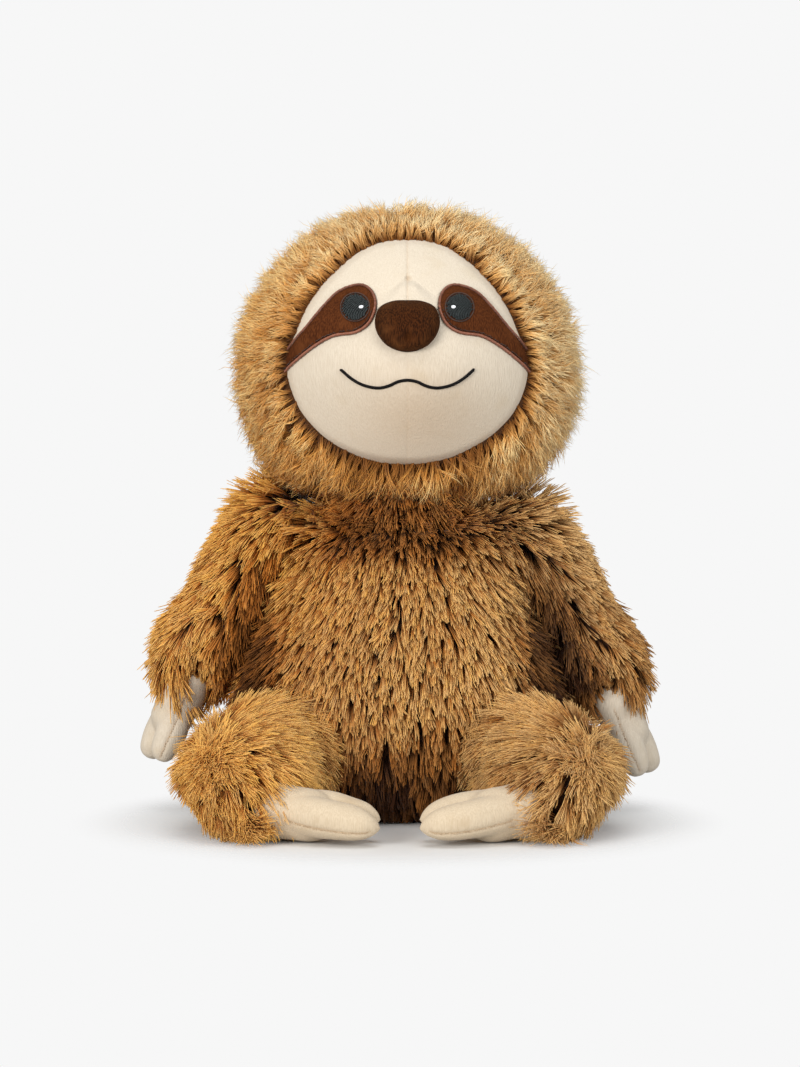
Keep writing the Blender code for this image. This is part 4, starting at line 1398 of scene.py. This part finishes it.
def make_eye(side, rng):
    sign = SIGN[side]
    centre = np.array([HEAD_LEAN + sign * EYE_SPACING / 2, EYE_HEIGHT])
    places = stitch_rows(centre, EYE_RADIUS, 0.00042, 0.0012, rng)
    x, z = places.T
    dome = 0.0010 * np.clip(1 - ((places - centre) ** 2).sum(1) / EYE_RADIUS**2, 0, 1)
    count = len(x)
    way = np.tile([1.0, 0, 0.05], (count, 1)) + rng.normal(0, 0.10, (count, 3))
    up = face_up(x, z)
    made = stitch_mesh(
        f"eye_stitches_{side}", on_face(x, z, 0.0019 + dome), comb_along(way, up), up,
        0.0014 * rng.uniform(0.9, 1.1, count), 0.0003,
        0.0002, rng.random(count) ** 1.5, eye_thread,
    )  # fmt: skip
    return dress(made, "head", f"eye_{side}")


def make_eye_base(side):
    """A dark disc under the stitches, so that nothing shows between them."""
    sign = SIGN[side]
    angle = np.linspace(0, 2 * math.pi, 41)[:, None]
    share = np.linspace(0.02, 1, 12)[None]
    x = HEAD_LEAN + sign * EYE_SPACING / 2 + np.cos(angle) * share * EYE_RADIUS
    z = EYE_HEIGHT + np.sin(angle) * share * EYE_RADIUS
    lift = 0.0006 + 0.0013 * (1 - share**6) + 0.0009 * (1 - share**2) + 0 * angle
    points = on_face(x, z, lift).reshape(-1, 3)
    flat = np.zeros(len(points))
    made = mesh_piece(
        f"eye_base_{side}", points, grid_faces(*x.shape), eye_thread, grid_uv(*x.shape),
        tone=flat, along=flat,
    )  # fmt: skip
    dress(made, "head")


def make_rim(side, rng):
    sign = SIGN[side]
    count = 110
    angle = np.arange(count) * 2 * math.pi / count
    reach = EYE_RADIUS + 0.0003
    x = HEAD_LEAN + sign * EYE_SPACING / 2 + np.cos(angle) * reach
    z = EYE_HEIGHT + np.sin(angle) * reach
    up = face_up(x, z)
    middle = on_face(x, z, 0.0017)
    ahead = unit(np.roll(middle, -1, axis=0) - np.roll(middle, 1, axis=0))
    way = unit(np.cross(up, ahead) + 0.9 * ahead)
    made = stitch_mesh(
        f"eye_rim_{side}", middle, way, up, 0.0010, 0.00024,
        0.0003, rng.random(count), rim_thread,
    )  # fmt: skip
    dress(made, "head")


def make_sparkle(side, rng):
    sign = SIGN[side]
    count = 6
    across = np.linspace(-0.0008, 0.0008, count)
    x = HEAD_LEAN + sign * (EYE_SPACING / 2 - SPARKLE_INWARD) + across
    z = np.full(count, EYE_HEIGHT)
    up = face_up(x, z)
    way = comb_along(np.tile([0.12, 0, 1.0], (count, 1)), up)
    made = stitch_mesh(
        f"sparkle_{side}", on_face(x, z, 0.0030), way, up,
        0.0017 * np.sqrt(1.2 - (across / 0.0010) ** 2), 0.00026,
        0.00035, rng.random(count), white_thread,
    )  # fmt: skip
    dress(made, "head", f"catchlight_{side}")


rng = np.random.default_rng(6)
for side in SIGN:
    eye = make_eye(side, rng)
    make_eye_base(side)
    make_rim(side, rng)
    make_sparkle(side, rng)
print("stitches in an eye:", len(eye.data.vertices) // (len(STITCH_STOPS) * STITCH_SIDES))

# %% [markdown]
# ## Nose and mouth
#
# The nose is a small stuffed cushion of dark brown velour. It is broad at the top, runs
# to a soft point, and has a dimple low in the middle. The mouth is one line of black
# thread, twisted from two plies.

# %% Make the nose and the mouth
NOSE_TABLE = (
    (0.0, 1.0),
    (0.45, 0.97),
    (0.84, 0.74),
    (1.0, 0.26),
    (0.94, -0.24),
    (0.70, -0.68),
    (0.36, -0.93),
    (0.0, -1.01),
)
NOSE_HALF_WIDTH = 0.0155
NOSE_HALF_HEIGHT = 0.0124
NOSE_DEPTH = 0.0112
right_half = np.array(NOSE_TABLE)
left_half = right_half[-2:0:-1] * (-1, 1)
outline = loop_through(np.vstack([right_half, left_half]), 10)
outline = np.vstack([outline, outline[:1]])
profile = curve_through(
    ((0.0, 1.0), (0.25, 0.995), (0.5, 0.97), (0.75, 0.87), (0.9, 0.70), (0.985, 0.44),
     (1.0, 0.2), (0.97, 0.0)), 6,
)  # fmt: skip
share = np.maximum(profile[:, 0], 0.01)[None]
x = HEAD_LEAN + outline[:, :1] * NOSE_HALF_WIDTH * share
z = NOSE_MIDDLE[1] + outline[:, 1:] * NOSE_HALF_HEIGHT * share
dimple = hill(x, z, (HEAD_LEAN + 0.0004, 0.2345), 0.0017, 0.0024)
fold = hill(x, z, (HEAD_LEAN + 0.0004, 0.2325), 0.0008, 0.0050)
base = face_depth(HEAD_LEAN + (x - HEAD_LEAN) * 0.9, z) - 0.0008
height = profile[:, 1][None] * NOSE_DEPTH - 0.0020 * dimple - 0.0007 * fold
points = np.stack([x, -base - height, z], axis=-1).reshape(-1, 3)
# Painted shade over the middle of the nose and in its dimple, which leaves its rim lighter as a
# painted sheen.
pressed = np.clip(0.95 * np.exp(-((share / 0.75) ** 4)) + dimple + 0 * x, 0, 1)
nose = mesh_piece(
    "nose_velour", points, grid_faces(*x.shape)[:, ::-1], nose_cloth, grid_uv(*x.shape),
    crease=pressed,
)  # fmt: skip
dress(nose, "head", "nose")

MOUTH_TABLE = (
    (0.0, 0.42),
    (0.14, 0.34),
    (0.27, 0.12),
    (0.40, 0.0),
    (0.53, 0.02),
    (0.70, 0.20),
    (0.86, 0.55),
    (1.0, 1.0),
)
MOUTH_HALF_WIDTH = 0.0315
MOUTH_DROP = 0.0085
MOUTH_HEIGHT = 0.2195
half = np.array(MOUTH_TABLE)
line = np.vstack([half[:0:-1] * (-1, 1), half])
line = curve_through(line, 12)
x = HEAD_LEAN + line[:, 0] * MOUTH_HALF_WIDTH
z = MOUTH_HEIGHT + (line[:, 1] - 1) * MOUTH_DROP
line = even_line(np.stack([x, z], axis=1), 0.00055)
x, z = line.T
rng = np.random.default_rng(7)
up = face_up(x, z)
middle = on_face(x, z, 0.00035)
ahead = unit(np.gradient(middle, axis=0))
way = unit(ahead + 0.55 * np.cross(up, ahead))
count = len(x)
mouth = stitch_mesh(
    "mouth_thread", middle, way, up, 0.0018, 0.0007,
    0.0002, rng.random(count), black_thread,
)  # fmt: skip
dress(mouth, "head", "mouth")
print("mouth stitches:", count)

# %% [markdown]
# ## Hands and feet
#
# Each hand and foot is cut from cream velour and stuffed: a palm that grows out of the
# cuff, with two blunt claws. Here the claws are lofted one by one, fused on a fine grid
# of cubes, and smoothed, which rounds the folds between them as stuffing does.

# %% Make the hands and the feet
WRIST_RADIUS = 0.0115
HAND_DOWN = (0.013, -0.004, -0.02925)
CLAW_RADIUS = 0.008
ANKLE = (0.061, -0.112, 0.0155)
ANKLE_RADIUS = 0.014
FOOT_INWARD = (-0.0505, -0.012, -0.0076)
TOE_RADIUS = 0.0085


def lobe(start, way, table, radius, across, apart=(0, 0, 0)):
    """One stuffed finger: shares along it, apart from its middle, and of its radius."""
    rows = [
        (*(np.array(start) + along * np.array(way) + off * np.array(apart)), size * radius)
        for along, off, size in table
    ]
    return limb_skin(rows, np.array(across), 28, 8)


PALM_OF_HAND = (
    (-0.85, 0, 0.2),
    (-0.80, 0, 0.7),
    (-0.5, 0, 0.95),
    (0, 0, 1),
    (0.25, 0, 0.94),
    (0.5, 0, 0.9),
    (0.68, 0, 0.5),
    (0.72, 0, 0.1),
)
CLAW_OF_HAND = (
    (0.2, 0.3, 0.3),
    (0.30, 0.38, 0.92),
    (0.62, 0.75, 0.98),
    (0.95, 0.75, 0.82),
    (1.08, 0.68, 0.5),
    (1.12, 0.66, 0.08),
)
PALM_OF_FOOT = (
    (-0.12, 0, 0.5),
    (0, 0, 1),
    (0.2, 0, 0.9),
    (0.42, 0, 0.86),
    (0.6, 0, 0.5),
    (0.64, 0, 0.1),
)
TOE_OF_FOOT = (
    (0.12, 0.45, 0.3),
    (0.22, 0.51, 0.95),
    (0.55, 0.85, 1.0),
    (0.82, 0.85, 0.84),
    (0.96, 0.77, 0.50),
    (1.03, 0.74, 0.08),
)


def fused(name, skins, material):
    """The lobes as one rounded, closed mesh."""
    joined = bmesh.new()
    for skin in skins:
        part = skin.piece(f"{name}_part", material)
        joined.from_mesh(part.data)
        bpy.data.objects.remove(part)
    mesh = bpy.data.meshes.new(name)
    joined.to_mesh(mesh)
    joined.free()
    rough = bpy.data.objects.new(f"{name}_rough", mesh)
    bpy.context.collection.objects.link(rough)
    remesh = rough.modifiers.new("remesh", "REMESH")
    remesh.mode = "VOXEL"
    remesh.voxel_size = 0.0009
    remesh.use_smooth_shade = True
    ease = rough.modifiers.new("ease", "SMOOTH")
    ease.factor = 0.6
    ease.iterations = 5
    seen = rough.evaluated_get(bpy.context.evaluated_depsgraph_get())
    made = bpy.data.meshes.new_from_object(seen)
    made.name = name
    bpy.data.objects.remove(rough)
    made.materials.clear()
    made.materials.append(material)
    made.shade_smooth()
    obj = bpy.data.objects.new(name, made)
    bpy.context.collection.objects.link(obj)
    return obj


def wrinkle(piece, seed, amount):
    """Shallow lumps, as loose fibre leaves under thin cloth."""
    mesh = piece.data
    points = np.empty(len(mesh.vertices) * 3, np.float32)
    mesh.vertices.foreach_get("co", points)
    points = points.reshape(-1, 3)
    facing = np.empty(len(mesh.vertices) * 3, np.float32)
    mesh.vertex_normals.foreach_get("vector", facing)
    facing = facing.reshape(-1, 3)
    points = points + facing * (ripple(points, 330, seed) * amount)[:, None]
    points[:, 2] = np.maximum(points[:, 2], FLOOR_CLEAR)
    mesh.vertices.foreach_set("co", points.astype(np.float32).ravel())
    mesh.update()


def sewn(piece, name, body, rough_line, rng):
    """Draws the cloth in along a seam near rough_line, paints shade into it, and sews it with
    small stitches.
    """
    mesh = piece.data
    points = np.array([vertex.co for vertex in mesh.vertices])
    facing = np.array([normal.vector for normal in mesh.vertex_normals])
    tree = BVHTree.FromPolygons(points.tolist(), [list(face.vertices) for face in mesh.polygons])
    rough_line = even_line(curve_through(rough_line, 8), 0.0004)
    line = np.array([tree.find_nearest(Vector(row))[0] for row in rough_line])
    far = np.full(len(points), 1.0)
    for spot in line:
        far = np.minimum(far, np.linalg.norm(points - spot, axis=1))
    drawn = np.exp(-((far / 0.0009) ** 2))
    points = points - facing * (0.0004 * drawn)[:, None]
    mesh.vertices.foreach_set("co", points.astype(np.float32).ravel())
    # Painted shade along the seam.
    made = mesh.attributes.new("crease", "FLOAT", "POINT")
    made.data.foreach_set("value", (0.7 * np.exp(-((far / 0.0005) ** 2))).astype(np.float32))
    mesh.update()
    spots = even_line(line, 0.0013)[1:-1]
    spots = spots + rng.normal(0, 0.00015, spots.shape)
    up = np.array([tree.find_nearest(Vector(spot))[1] for spot in spots])
    way = comb_along(np.gradient(spots, axis=0) + rng.normal(0, 0.0005, spots.shape), up)
    count = len(spots)
    thread = stitch_mesh(
        name, spots - up * 0.0001, way, up, 0.0010 * rng.uniform(0.7, 1.3, count),
        0.00016, 0.00022, rng.random(count), seam_thread,
    )  # fmt: skip
    dress(thread, body)


def make_hand(side):
    sign = SIGN[side]
    out, height = SHOULDER[side]
    start = (out + sign * 1.06 * ARM_OUT, 0, height - ARM_LENGTH)
    down = np.array(HAND_DOWN) * (sign, 1, 1)
    apart = np.array([sign * 0.00425, 0.0085, 0])
    skins = [lobe(start, down, PALM_OF_HAND, WRIST_RADIUS, (0, 1, 0))]
    for way in (-1, 1):
        skins.append(lobe(start, down, CLAW_OF_HAND, CLAW_RADIUS, (0, 1, 0), way * apart))
    hand = fused(f"hand_velour_{side}", skins, cream)
    wrinkle(hand, 60 + sign, 0.0003)
    front = -0.75 * apart + (0, -CLAW_RADIUS, 0)
    line = [start + share * down + front for share in (0.0, 0.3, 0.6, 0.9, 1.1)]
    sewn(hand, f"hand_seam_{side}", f"hand_{side}", line, np.random.default_rng(80 + sign))
    dress(hand, f"hand_{side}", f"hand_{side}")
    return hand


def make_foot(side):
    sign = SIGN[side]
    start = np.array(ANKLE) * (sign, 1, 1)
    inward = np.array(FOOT_INWARD) * (sign, 1, 1)
    skins = [lobe(start, inward, PALM_OF_FOOT, ANKLE_RADIUS, (0, 0, 1))]
    for way, size, rise in ((-1, 1.08, 0.0012), (1, 1.0, 0.0042)):
        apart = np.array([0, way * 0.009, rise])
        skins.append(lobe(start, inward, TOE_OF_FOOT, TOE_RADIUS * size, (0, 0, 1), apart))
    # The feet take the darker copy of the cream velour: painted shade.
    foot = fused(f"foot_velour_{side}", skins, shaded_claw_cloth)
    wrinkle(foot, 70 + sign, 0.0003)
    front = np.array([0, -0.0077 - TOE_RADIUS, -0.0035])
    line = [start + share * inward + front for share in (0.15, 0.4, 0.6, 0.8, 1.0)]
    sewn(foot, f"foot_seam_{side}", f"foot_{side}", line, np.random.default_rng(90 + sign))
    dress(foot, f"foot_{side}", f"foot_{side}")
    return foot


hands = [make_hand(side) for side in SIGN]
feet = [make_foot(side) for side in SIGN]
print("points in a foot:", len(feet[0].data.vertices))

# %% [markdown]
# ## Studio
#
# The toy sits on a pale floor that fades into a white background. A large soft lamp
# stands in front at the left, a weaker one at the right, a third hangs above, and the
# room itself gives the rest.

# %% Light the studio
floor_material, tree, surface = new_material("studio_floor", 0.9, specular=0.05)
surface.inputs["Base Color"].default_value = (0.71, 0.705, 0.695, 1)
place = add_node(tree, "ShaderNodeTexCoord", {}, {}, 3)
far = add_node(tree, "ShaderNodeVectorMath", {"operation": "LENGTH"}, {0: place}, 1)
clear = add_node(tree, "ShaderNodeBsdfTransparent", {}, {})
solid = Wire(tree, surface.outputs[0])
faded = add_node(tree, "ShaderNodeMixShader", {}, {0: far.step(0.085, 0.165), 1: solid, 2: clear})
connect(tree, tree.nodes["Material Output"].inputs["Surface"], faded)
corners = np.array([(-1, -1, 0), (1, -1, 0), (1, 1, 0), (-1, 1, 0)]) * 1.5
floor = mesh_piece("studio_floor", corners, np.array([[0, 1, 2, 3]]), floor_material)
floor.location.y = -0.04

world = bpy.data.worlds.new("studio")
bpy.context.scene.world = world
world.use_nodes = True
tree = world.node_tree
seen = add_node(tree, "ShaderNodeLightPath", {}, {}, 0)
room = blend_colours(tree, seen, (0.36, 0.355, 0.35, 1), (0.93, 0.93, 0.93, 1))
connect(tree, tree.nodes["Background"].inputs["Color"], room)


def add_lamp(name, place, target, size, power, tint):
    data = bpy.data.lights.new(name, "AREA")
    data.size = size
    data.energy = power
    data.color = tint
    lamp = bpy.data.objects.new(name, data)
    lamp.location = place
    lamp.rotation_euler = (Vector(target) - Vector(place)).to_track_quat("-Z", "Y").to_euler()
    bpy.context.collection.objects.link(lamp)


add_lamp("key", (-0.85, -1.3, 0.48), (0, 0, 0.16), 0.6, 20.5, (1.0, 0.98, 0.95))
add_lamp("fill", (1.1, -1.15, 0.45), (0, 0, 0.16), 0.8, 12.5, (0.97, 0.99, 1.0))
add_lamp("top", (0.0, -0.35, 1.4), (0, 0, 0.2), 0.8, 6.6, (0.96, 0.99, 1.0))
bpy.context.scene.view_settings.view_transform = "Standard"
print("lamps:", len(bpy.data.lights))

# %% Write the sizes and finish
print("triangles of fur:", sum(len(piece.data.polygons) for piece in furs))
